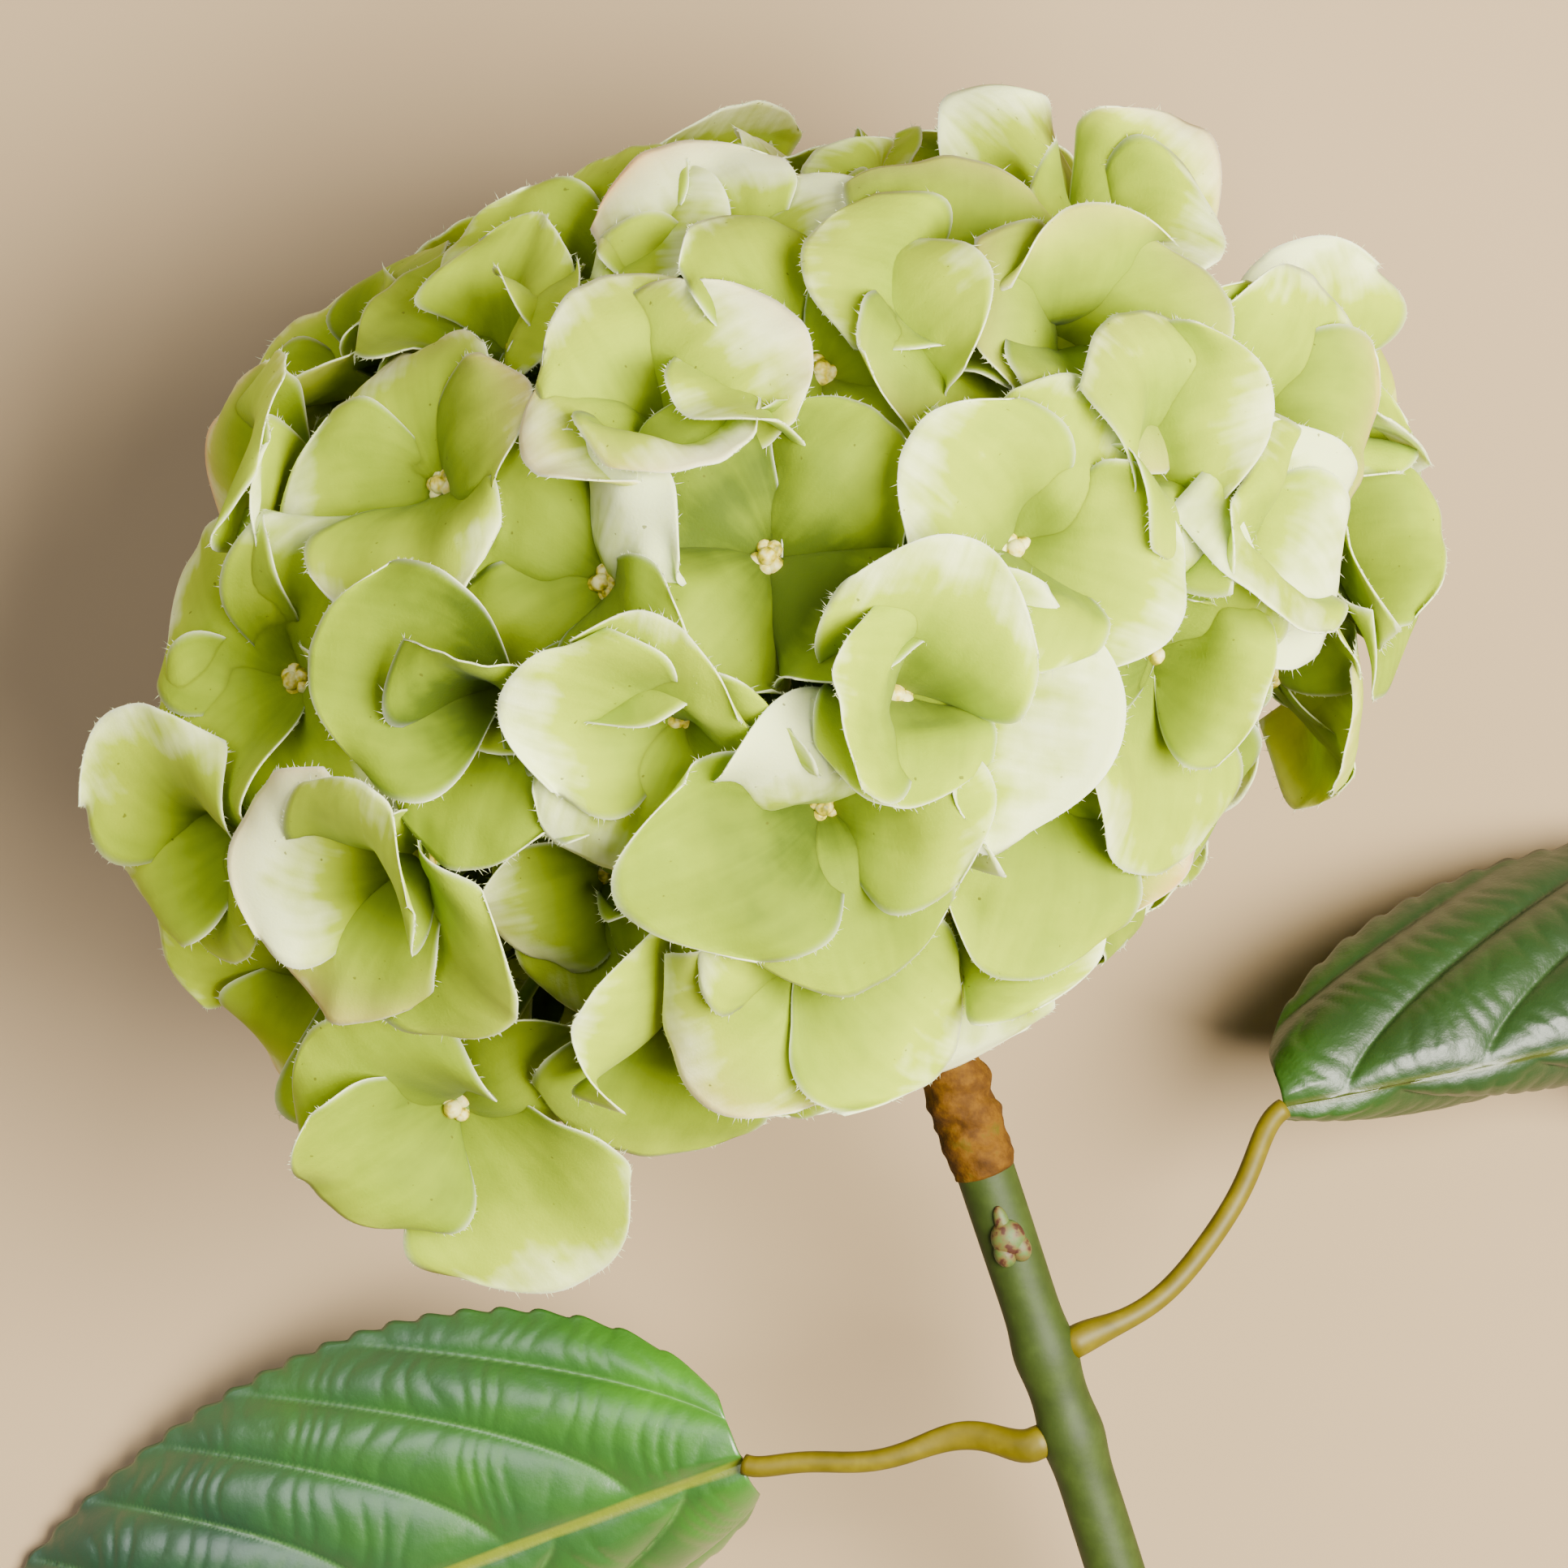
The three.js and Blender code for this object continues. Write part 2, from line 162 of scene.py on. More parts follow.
def closedTube(name, rings, material):
    rows, sides = rings.shape[:2]
    caps = np.stack([rings[0].mean(axis=0), rings[-1].mean(axis=0)])
    points = np.concatenate([rings.reshape(-1, 3), caps])
    c = np.arange(sides)
    n = (c + 1) % sides
    lastRow = (rows - 1) * sides
    first = np.stack([np.full(sides, rows * sides), n, c], axis=1)
    last = np.stack([np.full(sides, rows * sides + 1), lastRow + c, lastRow + n], axis=1)
    return makeMesh(name, points, [gridFaces(rows, sides, wrap=True), first, last], [material])


def wobble(points, size, seed):  # smooth noise from a few waves, about -1 to 1, size in mm
    dice = np.random.default_rng(seed)
    total = np.zeros(points.shape[:-1])
    for octave in range(5):
        way = unit(dice.normal(size=3)) * 2 * np.pi / (size * dice.uniform(0.7, 1.5))
        total += np.sin(points @ way + dice.uniform(0, 6.28))
    return total / 2.2


# Head: where it is, and where each floret sits
hubSet = dict(radius=14.0, neck=3.4)
hubLow, hubHigh = (np.array(v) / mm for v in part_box("flower_hub"))
headCentre = np.array([hubLow[0], hubHigh[1], hubHigh[2]]) + hubSet["radius"] * np.array([1, -1, -1])
caneLine = centreLine("cane", 220, 4)
if caneLine[0, 1] < caneLine[-1, 1]:  # it starts at the head
    caneLine = caneLine[::-1]
neckWay = unit(caneLine[0] - headCentre)

headSet = dict(beadHeight=2.4, sink=3.0, fill=40, fillDepth=0.80, gaps=[(-27.0, -45.0, 52.0)],
               tries=700, neckGap=0.26)  # heights in mm, neckGap in radians
floretNodes = sorted(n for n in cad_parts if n.startswith("floret_"))
seats, ways = [], []
for node in floretNodes:
    offset = nodePoints(node) - headCentre
    way = unit(offset[np.argmin(np.linalg.norm(offset, axis=1))])
    reach = offset @ way
    near = np.linalg.norm(offset - reach[:, None] * way, axis=1) < 1.0
    ways.append(way)
    seats.append(headCentre + way * (reach[near].max() - headSet["beadHeight"]))
golden = np.pi * (3 - math.sqrt(5))
tries = np.arange(headSet["tries"])
height = 1 - 2 * ((tries + 0.5) / headSet["tries"])
broad = np.sqrt(1 - height ** 2)
candidates = np.stack([broad * np.cos(golden * tries), broad * np.sin(golden * tries), height], axis=1)
candidates = candidates[candidates @ neckWay < math.cos(headSet["neckGap"])]
cadWays, cadReach = np.array(ways), np.linalg.norm(np.array(seats) - headCentre, axis=1)


def reachAlong(way):  # how far out the CAD's florets sit in a direction
    weight = np.clip(cadWays @ way, 0, 1) ** 24
    return (weight * cadReach).sum() / weight.sum()


gapWays = [unit(np.array(way)) for way in headSet["gaps"]]
for k in range(headSet["fill"]):  # each goes where the others leave most room
    nearest = (candidates @ np.array(ways).T).max(axis=1)
    pick = gapWays[k] if k < len(gapWays) else candidates[np.argmin(nearest)]
    ways.append(pick)
    seats.append(headCentre + pick * (reachAlong(pick) * headSet["fillDepth"]))
ways, seats = np.array(ways), np.array(seats)
seats = seats - ways * headSet["sink"]
florets = len(ways)
print("florets", florets)

# Petals: the rest shape of each, then grown together so that they crowd and lap
petalSet = dict(length=26.0, halfWidth=13.6, thick=0.2, lift=76.0, curl=86.0, cup=0.5, ruffle=1.7,
                twist=12.0, grid=11, seed=21)  # sizes in mm, lift, curl and twist in degrees
turns = [70, 20, 50, 70, 50, 75, 20, 60, 35, 80, 80, 15, 75, 45, 30, 50, 60, 15, 50, 60,
         70, 0, 28, 20, 40, 5, 65, 30, 0, 40, 80, 70, 65, 35]
openFlorets = {1, 2, 4, 5, 6, 8, 10, 11, 12, 13, 14, 15}  # those whose bead is in full view
facingUp = {15: 1.3, 32: 1.0, 31: 0.9, 25: 0.9, 23: 0.8, 17: 0.5, 18: 0.5, 19: 0.4, 28: 0.5, 29: 0.4,
            27: 0.4, 21: 0.5, 22: 0.5, 10: 0.45, 4: 0.4, 13: 0.5}  # how far each leans to the upper side
petalTones = {(3, 0): 0.7, (11, 3): 0.6, (25, 1): 0.55, (15, 3): 0.3, (16, 1): 0.4, (31, 2): 0.35,
              (5, 0): -0.4, (5, 3): -0.5, (12, 2): -0.4, (12, 3): -0.4, (5, 1): -0.3, (5, 2): -0.4,
              (4, 3): 0.5, (4, 1): 0.0, (4, 2): 0.1, (11, 0): 0.3, (12, 1): 0.5, (12, 0): 0.2,
              (10, 0): 0.2}  # keys here and below are (floret, petal), and above 0 is paler
petalBlush = {(23, 1): 1.0, (20, 1): 0.9, (13, 3): 0.8, (17, 2): 0.6, (28, 0): 0.7, (16, 1): 0.6,
              (16, 2): 0.5, (31, 2): 0.5, (14, 2): 0.5, (25, 0): 0.6, (27, 3): 0.6}
petalForms = {(15, 3): (12, 12, 0.3, 0.0), (31, 2): (22, 42, 0.25, 0.0), (25, 1): (28, 50, -0.5, -0.2),
              (23, 1): (40, 35, 0.5, 0.3), (32, 2): (17, 28, 0.3, 0.0), (32, 3): (17, 28, -0.2, 0.0),
              (11, 3): (40, 35, 0.5, 0.2), (11, 0): (70, 60, 0.4, 0.0), (11, 1): (80, 30, 0.3, 0.0),
              (3, 0): (50, 70, -0.4, -0.3), (4, 0): (84, 20, 0.9, 0.2), (4, 1): (46, 36, 0.55, 0.2),
              (4, 2): (38, 55, 0.3, 0.0), (4, 3): (30, 50, 0.1, -0.3), (10, 0): (60, 70, 0.2, 0.2),
              (10, 1): (34, 50, -0.2, 0.0), (10, 2): (20, 30, 0.3, 0.0), (10, 3): (80, 24, 0.3, 0.0),
              (12, 1): (72, 110, -0.4, 0.0), (12, 0): (60, 60, 0.6, 0.2), (13, 3): (48, 60, -0.5, -0.4),
              (13, 2): (30, 50, 0.4, 0.0), (1, 1): (40, 30, 0.5, 0.1), (1, 0): (72, 20, 1.0, 0.0),
              (1, 2): (40, 60, 0.2, 0.0), (16, 3): (45, 60, 0.4, 0.0)}  # lift, curl, cup, roll
petalSizes = {(15, 3): 1.16, (31, 2): 1.1, (25, 1): 1.12, (23, 1): 1.12, (32, 2): 1.1, (11, 3): 1.12,
              (4, 1): 1.15, (4, 2): 1.08, (4, 0): 0.92, (10, 1): 1.08, (10, 2): 1.1, (1, 1): 1.1,
              (11, 2): 0.8}


def petalShape(dice, grid, length, halfWidth, lift, curl, cup, roll):  # angles in degrees
    u, v = np.meshgrid(np.linspace(0, 1, grid), np.linspace(-1, 1, grid), indexing="ij")
    fine = np.linspace(0, 1, 101)
    pitch = np.radians(lift - curl * fine ** 1.3)
    ahead = length * np.concatenate([[0], np.cumsum(np.cos((pitch[1:] + pitch[:-1]) / 2))]) / 100
    tall = length * np.concatenate([[0], np.cumsum(np.sin((pitch[1:] + pitch[:-1]) / 2))]) / 100
    broad = 0.1 + 0.9 * np.sin(np.pi / 2 * np.minimum(1, u / 0.62)) ** 0.85
    broad *= 1 - 0.11 * np.clip((u - 0.62) / 0.38, 0, 1) ** 2
    place = u - 0.34 * u ** 2 * np.abs(v) ** 2.2
    place = np.clip(place * (1 + 0.05 * dice.normal() * v), 0, 1)
    y = halfWidth * v * broad * (1 + 0.06 * dice.normal())
    hollow = cup * halfWidth * v ** 2 * np.sin(np.pi * np.minimum(u * 1.15, 1)) * broad
    hollow += roll * length * np.clip(u - 0.55, 0, 1) ** 2 * (0.4 + v * dice.uniform(-1, 1))
    edge = np.maximum(np.abs(v), u) ** 3
    around = np.arctan2(v, 1.2 * (u - 0.45))
    waves = dice.integers(2, 4)
    waving = np.sin(waves * around + dice.uniform(0, 6.28))
    hollow += petalSet["ruffle"] * edge * waving * dice.uniform(0.3, 1.1)
    hollow += 0.9 * dice.uniform(-1, 1) * edge * np.sin(5 * around + dice.uniform(0, 6.28))
    slope = np.interp(place, fine, pitch)
    x = np.interp(place, fine, ahead) - np.sin(slope) * hollow
    return np.stack([x, y, np.interp(place, fine, tall) + np.cos(slope) * hollow], axis=-1)


dice = np.random.default_rng(petalSet["seed"])
grid = petalSet["grid"]
rest = np.zeros((florets, 4, grid, grid, 3))
facing = np.zeros((florets, 3, 3))
for i in range(florets):
    lean = dice.normal(size=3) * 0.14
    if i + 1 in openFlorets or i + 1 in facingUp:
        lean = lean * 0.4 + np.array([0.0, 0.0, facingUp.get(i + 1, 0.35)])
    normal = unit(ways[i] + lean)
    right = unit(np.cross(np.array([0.0, 1.0, 0.02]), normal))
    above = np.cross(normal, right)
    facing[i] = np.stack([right, above, normal])
    turn = math.radians(turns[i] if i < len(turns) else dice.uniform(0, 90))
    size = dice.uniform(0.92, 1.08) if i < len(cadWays) else dice.uniform(0.78, 0.92)
    openness = dice.uniform(0.0, 1.0) + (0.4 if i + 1 in openFlorets else 0.0)
    for petal in range(4):
        grow = size * petalSizes.get((i + 1, petal), 1.0)
        shape = petalShape(dice, grid, petalSet["length"] * grow * dice.uniform(0.93, 1.07),
                           petalSet["halfWidth"] * grow * dice.uniform(0.93, 1.05),
                           *petalForms.get((i + 1, petal), (
                               petalSet["lift"] - 28 * openness + dice.normal() * 9,
                               petalSet["curl"] - 15 * openness + dice.normal() * 16,
                               petalSet["cup"] * dice.choice([1.2, 0.7, 0.3, -0.8],
                                                             p=[0.25, 0.3, 0.15, 0.3]),
                               dice.normal(-0.35, 0.8))))
        twist = math.radians(petalSet["twist"]) * dice.normal() * np.linspace(0.3, 1.2, grid)[:, None]
        wide, tall = shape[..., 1].copy(), shape[..., 2].copy()
        shape[..., 1] = wide * np.cos(twist)
        shape[..., 2] = tall + wide * np.sin(twist) + 0.5 * (petal % 2) * np.linspace(0, 1, grid)[:, None]
        angle = turn + petal * math.pi / 2 + dice.normal() * 0.07
        along = right * math.cos(angle) + above * math.sin(angle)
        side = -right * math.sin(angle) + above * math.cos(angle)
        rest[i, petal] = shape[..., :1] * along + shape[..., 1:2] * side + shape[..., 2:] * normal

growSet = dict(start=0.15, steps=56, settle=20, rounds=3,  # the petals grow from a share of their size
               shape=0.30, home=0.5,  # how fast a petal springs back, and how firmly it faces its own way
               spacing=2.9, own=0.7, loose=0.3, bias=0.5, memory=60.0, backMost=1.6,  # sheet on sheet, mm
               beadClear=7.0, openClear=9.0, beadAbove=5.0, openAbove=8.0, beadReach=62.0,
               neckClear=7.0, neckReach=60.0, hull=(88.5, 60.5, 84.0), lowHull=65.0, pull=0.3,
               strayFloret=15, strayLoose=1.25, strayReach=90.0, floor=0.35)

# Every petal is a sheet of particles: what each particle belongs to, and how far along its petal it is
each = 4 * grid * grid
floretOf = np.repeat(np.arange(florets), each)
petalOf = np.repeat(np.arange(florets * 4), grid * grid)
alongOf = np.tile(np.repeat(np.linspace(0, 1, grid), grid), florets * 4)
wayOf = np.repeat(ways, each, axis=0)
seatOf = np.repeat(seats, each, axis=0)
homes = rest.reshape(florets * 4, -1, 3)
spreadOf = np.einsum("pni,pnj->pij", homes, homes)


def closePairs(points, radius):  # pairs of points that may be nearer than radius
    cell = np.floor(points / radius).astype(np.int64)
    cell -= cell.min(axis=0) - 1
    size = cell.max(axis=0) + 2
    key = (cell[:, 0] * size[1] + cell[:, 1]) * size[2] + cell[:, 2]
    order = np.argsort(key, kind="stable")
    key = key[order]
    steps = [(x, y, z) for x in (-1, 0, 1) for y in (-1, 0, 1) for z in (-1, 0, 1)
             if (x, y, z) >= (0, 0, 0)]
    firsts, seconds = [], []
    for x, y, z in steps:
        shift = (x * size[1] + y) * size[2] + z
        begin = np.searchsorted(key, key + shift, "left")
        end = np.searchsorted(key, key + shift, "right")
        for k in range(int((end - begin).max())):
            i = np.nonzero(begin + k < end)[0]
            j = begin[i] + k
            if shift == 0:
                i, j = i[j > i], j[j > i]
            firsts.append(order[i])
            seconds.append(order[j])
    return np.concatenate(firsts), np.concatenate(seconds)


def holdShape(at, scale):  # each petal goes back towards its rest shape, turned to fit best
    offset = (at - seatOf).reshape(florets * 4, -1, 3)
    h = np.einsum("pni,pnj->pij", offset, homes) / scale + growSet["home"] * spreadOf
    left, _, right = np.linalg.svd(h)
    flip = np.sign(np.linalg.det(left @ right))
    left[:, :, 2] *= flip[:, None]
    turned = np.einsum("pij,pnj->pni", left @ right, homes) * scale
    bent = offset - turned
    square = bent.reshape(-1, grid, grid, 3)
    padded = np.pad(square, ((0, 0), (1, 1), (1, 1), (0, 0)), mode="edge")
    soft = (padded[:, 2:, 1:-1] + padded[:, :-2, 1:-1] + padded[:, 1:-1, 2:] + padded[:, 1:-1, :-2]) / 4
    bent = (square * 0.4 + soft * 0.6).reshape(bent.shape) * (1 - growSet["shape"])
    return seatOf + (turned + bent).reshape(-1, 3)


def pressApart(at, scale, rank, told):  # sheets press apart along their faces, the higher ranked outwards
    sheet = at.reshape(-1, grid, grid, 3)
    face = unit(np.cross(np.gradient(sheet, axis=1), np.gradient(sheet, axis=2))).reshape(-1, 3)
    limit = growSet["spacing"] * scale
    i, j = closePairs(at, limit)
    other = petalOf[i] != petalOf[j]
    i, j = i[other], j[other]
    gap = at[i] - at[j]
    far = np.linalg.norm(gap, axis=1)
    same = floretOf[i] == floretOf[j]
    want = np.where(same, limit * growSet["own"], limit)
    near = (far < want) & ~(same & ((alongOf[i] < 0.3) | (alongOf[j] < 0.3)))
    i, j, gap, far, want = i[near], j[near], gap[near], far[near], want[near]
    over = np.sign(rank[petalOf[i]] - rank[petalOf[j]])[:, None] * wayOf[i]
    apart = unit(seatOf[i] - seatOf[j])
    lean = unit(face[i] * np.sign((face[i] * face[j]).sum(axis=1))[:, None] + face[j])
    swap = petalOf[i] < petalOf[j]  # each pair of petals is counted one way round
    lean[swap] = unit(face[j] * np.sign((face[i] * face[j]).sum(axis=1))[:, None] + face[i])[swap]
    flat = np.abs((lean * wayOf[i]).sum(axis=1, keepdims=True))
    side = unit(gap) + growSet["bias"] * (flat * over + (1 - flat) * apart)
    pair = np.maximum(petalOf[i], petalOf[j]) * florets * 4 + np.minimum(petalOf[i], petalOf[j])
    told += np.bincount(pair, (lean * side).sum(axis=1) * np.where(swap, -1, 1), len(told))
    np.clip(told, -growSet["memory"], growSet["memory"], out=told)
    sure = lean * (np.sign(told[pair]) * np.where(swap, -1, 1))[:, None]
    push = unit(unit(gap) * growSet["loose"] + sure) * ((want - far) / 2)[:, None]
    depth = (gap * sure).sum(axis=1)
    wrong = depth < 0  # already through the other sheet
    back = np.minimum((want / np.maximum(far, 1e-6) + 1) * -depth / 2, growSet["backMost"])
    push[wrong] = (sure * back[:, None])[wrong]
    count = len(at)
    hits = np.bincount(i, minlength=count) + np.bincount(j, minlength=count)
    move = np.stack([np.bincount(i, push[:, k], count) - np.bincount(j, push[:, k], count)
                     for k in range(3)], axis=1)
    return at + move / np.maximum(hits, 1)[:, None] * np.minimum(hits, 2)[:, None] * 0.6


def openBeads(at, beads, clears, around):  # petals keep off the beads near them
    for k in range(florets):
        away = at[around[k]] - beads[k]
        far = np.linalg.norm(away, axis=1)
        hit = far < clears[k]
        at[around[k][hit]] += unit(away[hit]) * (clears[k] - far[hit])[:, None] * 0.5


def keepInside(at, looseOf):  # off the neck, inside the head's outline and above the surface
    reach = np.clip((at - headCentre) @ neckWay, 0, 90)
    away = at - (headCentre + reach[:, None] * neckWay)
    far = np.linalg.norm(away, axis=1)
    hit = (far < growSet["neckClear"]) & (alongOf > 0.2)
    at[hit] += unit(away[hit]) * (growSet["neckClear"] - far[hit])[:, None]
    crownWay = -neckWay
    acrossWay = unit(np.cross(crownWay, np.array([0.0, 0.0, 1.0])))
    offset = (at - headCentre) @ np.stack([acrossWay, crownWay, np.cross(acrossWay, crownWay)]).T
    hull = np.repeat(np.array(growSet["hull"])[None], len(at), axis=0)
    hull[offset[:, 1] < 0, 1] = growSet["lowHull"]
    beyond = np.linalg.norm(offset / hull, axis=1) / looseOf
    pull = np.clip(1 - 1 / np.maximum(beyond, 1), 0, 1) * growSet["pull"]
    at = headCentre + (at - headCentre) * (1 - pull)[:, None]
    plan = unit(neckWay * np.array([1, 1, 0]))
    reach = (at - headCentre) @ plan
    aside = (at - headCentre) @ np.array([-plan[1], plan[0], 0])
    most = growSet["neckReach"] - 0.25 * np.clip(aside - 10, 0, 60) + 0.06 * np.clip(-aside, 0, 60)
    most = np.where(floretOf == growSet["strayFloret"] - 1, growSet["strayReach"], most)
    at -= plan * np.clip(reach - most, 0, None)[:, None] * 0.5
    at[:, 2] = np.maximum(at[:, 2], growSet["floor"])
    return at


def growHead():
    opened = np.array([i + 1 in openFlorets for i in range(florets)])
    rank = dice.uniform(0, 1, florets) + np.where(np.arange(florets) < len(cadWays), 0.6, 0)
    rank = np.repeat(rank + np.where(opened, 0.5, 0), 4)
    rank = rank + dice.uniform(-0.5, 0.5, florets * 4)
    stray = np.arange(florets) == growSet["strayFloret"] - 1
    loose = np.where(stray, growSet["strayLoose"], 1.0) * dice.uniform(0.94, 1.09, florets)
    above = np.where(opened, growSet["openAbove"], growSet["beadAbove"])
    beads = seats + facing[:, 2] * above[:, None]
    clears = np.where(opened, growSet["openClear"], growSet["beadClear"])
    clears[len(cadWays):] *= 0.5
    around = []  # the particles of the florets near each bead
    for k in range(florets):
        near = np.linalg.norm(seats - seats[k], axis=1) < growSet["beadReach"]
        near[k] = False
        around.append(np.nonzero(near[floretOf])[0])
    told = np.zeros((florets * 4) ** 2)  # which side of each other petal a petal keeps to
    at = seatOf + (homes * growSet["start"]).reshape(-1, 3)
    steps = growSet["steps"]
    for step in range(steps + growSet["settle"]):
        scale = min(1.0, growSet["start"] + (1 - growSet["start"]) * (step + 1) / steps)
        if step < steps:  # grow in place about each seat
            last = growSet["start"] + (1 - growSet["start"]) * step / steps
            at = seatOf + (at - seatOf) * (scale / last)
        for _ in range(growSet["rounds"]):
            at = pressApart(holdShape(at, scale), scale, rank, told)
            openBeads(at, beads, clears * scale, around)
            at = keepInside(at, loose[floretOf])
    return at.reshape(florets, 4, grid, grid, 3)


grown = growHead()
print("petals grown")

# Petal cloth
petalLook = dict(deep="445600", green="687C00", pale="849A02", cream="A2B810", white="E8F6A4",
                 pink="E6B79B", orange="C97A35", thread="F6F8E8", speck="4A4A10",
                 dyePatch=11.11, creaseWidth=1.943, creaseLength=18.57, creaseShade=0.36,
                 speckGap=1.111, threadGap=0.3846)  # sizes in mm


def petalCloth():  # soft and matt, dyed darker towards the bead and almost white at some tips, with painted shade where the petals lie deep in the head
    material, shader = newMaterial("polyester cloth, airbrushed green to cream")
    along, across, rim, edge, tone, blush, depth = (
        addNode(material, "ShaderNodeAttribute", {}, "Fac", attribute_name=name)
        for name in ("along", "across", "rim", "edge", "tone", "blush", "depth"))
    place = addNode(material, "ShaderNodeTexCoord", {}, "Object")
    patch = addNode(material, "ShaderNodeTexNoise", {  # uneven dye
        "Vector": place, "Scale": 1 / (petalLook["dyePatch"] * mm), "Detail": 3.0, "Roughness": 0.55})
    fan = addNode(material, "ShaderNodeCombineXYZ", {"X": across, "Y": along, "Z": tone})
    creases = (petalSet["halfWidth"] / petalLook["creaseWidth"],
               petalSet["length"] / petalLook["creaseLength"], 9.0)  # other painted crease streaks for each tone
    fan = addNode(material, "ShaderNodeVectorMath", {0: fan, 1: creases}, operation="MULTIPLY")
    streak = addNode(material, "ShaderNodeTexNoise", {  # painted light and shade in streaks that fan out from the bead, standing in for pressed creases
        "Vector": fan, "Scale": 1.0, "Detail": 2.0})
    streak = addNode(material, "ShaderNodeMath", {0: streak, 1: petalLook["creaseShade"]},
                     operation="MULTIPLY")
    shade = along
    for part in (patch, tone, streak):
        shade = addNode(material, "ShaderNodeMath", {0: shade, 1: part}, operation="ADD")
    shade = addNode(material, "ShaderNodeMapRange", {"Value": shade, "From Min": 0.43, "From Max": 1.93})
    colour = addNode(material, "ShaderNodeValToRGB", {"Fac": shade}, stops=[
        (0.0, petalLook["deep"]), (0.18, petalLook["green"]), (0.48, petalLook["pale"]),
        (0.78, petalLook["cream"]), (1.0, petalLook["white"])])
    # painted shade: the deeper a petal lies inside the head, the more its colour goes to the deep green
    colour = addNode(material, "ShaderNodeMix", {0: depth, 6: colour, 7: linear(petalLook["deep"])}, 2,
                     data_type="RGBA")
    tip = addNode(material, "ShaderNodeMath", {0: blush, 1: rim}, operation="MULTIPLY")
    blushColour = addNode(material, "ShaderNodeValToRGB", {"Fac": blush}, stops=[
        (0.0, petalLook["pink"]), (1.0, petalLook["orange"])])
    colour = addNode(material, "ShaderNodeMix", {0: tip, 6: colour, 7: blushColour}, 2, data_type="RGBA")
    thin = addNode(material, "ShaderNodeMath", {0: edge, 1: 3.5}, operation="POWER")
    thin = addNode(material, "ShaderNodeMath", {0: thin, 1: 0.33}, operation="MULTIPLY")
    colour = addNode(material, "ShaderNodeMix", {  # bare white thread along the cut
        0: thin, 6: colour, 7: linear(petalLook["thread"])}, 2, data_type="RGBA")
    speck = addNode(material, "ShaderNodeTexNoise", {  # a few specks of dye
        "Vector": place, "Scale": 1 / (petalLook["speckGap"] * mm), "Detail": 1.0, "Roughness": 0.55})
    speck = addNode(material, "ShaderNodeMapRange", {
        "Value": speck, "From Min": 0.77, "From Max": 0.80, "To Max": 0.7})
    colour = addNode(material, "ShaderNodeMix", {0: speck, 6: colour, 7: linear(petalLook["speck"])}, 2,
                     data_type="RGBA")
    weave = addNode(material, "ShaderNodeTexNoise", {
        "Vector": place, "Scale": 1 / (petalLook["threadGap"] * mm), "Detail": 2.0, "Roughness": 0.55})
    # the real threads may lie closer, but would not show from here
    connect(material, shader, {
        "Base Color": colour, "Roughness": 0.78, "IOR": 1.5, "Specular IOR Level": 0.2,
        "Sheen Weight": 0.03, "Sheen Roughness": 0.5,  # short fibres that catch light at the edges
        "Subsurface Weight": 0.4,  # light comes through the thin cloth
        "Subsurface Radius": (0.9, 1.0, 0.3), "Subsurface Scale": 0.0016,
        "Normal": addNode(material, "ShaderNodeBump", {
            "Height": weave, "Strength": 0.25, "Distance": 0.0002})})
    return material


def frayedEdge():  # draws a pale line round each petal
    material, shader = newMaterial("cut cloth edge, frayed white fibre")
    connect(material, shader, {"Base Color": linear("DCE3A8"), "Roughness": 0.9, "Sheen Weight": 0.3})
    return material


cloth, fray = petalCloth(), frayedEdge()
fineSet = dict(samples=25, ruffle=0.16, crease=0.14, shadeFrom=10.0, shadeDepth=26.0, surface=0.05,
               fibreStep=0.5, fibreLength=0.36, fibreMost=1.3, fibreHalf=0.045)  # sizes in mm; shadeFrom and shadeDepth set the painted shade of petals deep in the head


def rimOf(rows, columns):  # the points round the outside of a grid, in order
    size = rows * columns
    return np.concatenate([np.arange(columns), np.arange(2 * columns - 1, size, columns),
                           np.arange(size - 2, size - columns - 1, -1),
                           np.arange(size - 2 * columns, 0, -columns)])


def looseFibres(dice, fine, normal, ring):  # each a thin closed spike that stands out from the cut edge
    samples = len(fine)
    edge = fine.reshape(-1, 3)[ring]
    edgeNext = fine.reshape(-1, 3)[np.roll(ring, -1)]
    count = int(np.linalg.norm(edgeNext - edge, axis=1).sum() / fineSet["fibreStep"])
    pick = dice.integers(samples // 2, len(ring) - samples // 2, count)
    share = dice.uniform(0, 1, (count, 1))
    foot = edge[pick] * (1 - share) + edgeNext[pick] * share
    tangent = unit(edgeNext[pick] - edge[pick])
    face = normal.reshape(-1, 3)[ring[pick]]
    outwards = unit(np.cross(tangent, face))
    middle = fine[samples // 2, samples // 2]
    outwards *= np.sign(((foot - middle) * outwards).sum(axis=1))[:, None]
    slant, tilt = dice.normal(0, 0.6, (count, 1)), dice.normal(0, 0.4, (count, 1))
    outwards = unit(outwards + tangent * slant + face * tilt)
    reach = np.minimum(dice.exponential(fineSet["fibreLength"], (count, 1)), fineSet["fibreMost"])
    wide, thick = tangent * fineSet["fibreHalf"], face * fineSet["fibreHalf"]
    corners = count * np.array([[0, 2, 1], [0, 1, 3], [1, 2, 3], [2, 0, 3]])[:, None]
    corners = (np.arange(count)[:, None] + corners).reshape(-1, 3)
    return [foot - wide - thick, foot + wide - thick, foot + thick, foot + outwards * reach], corners


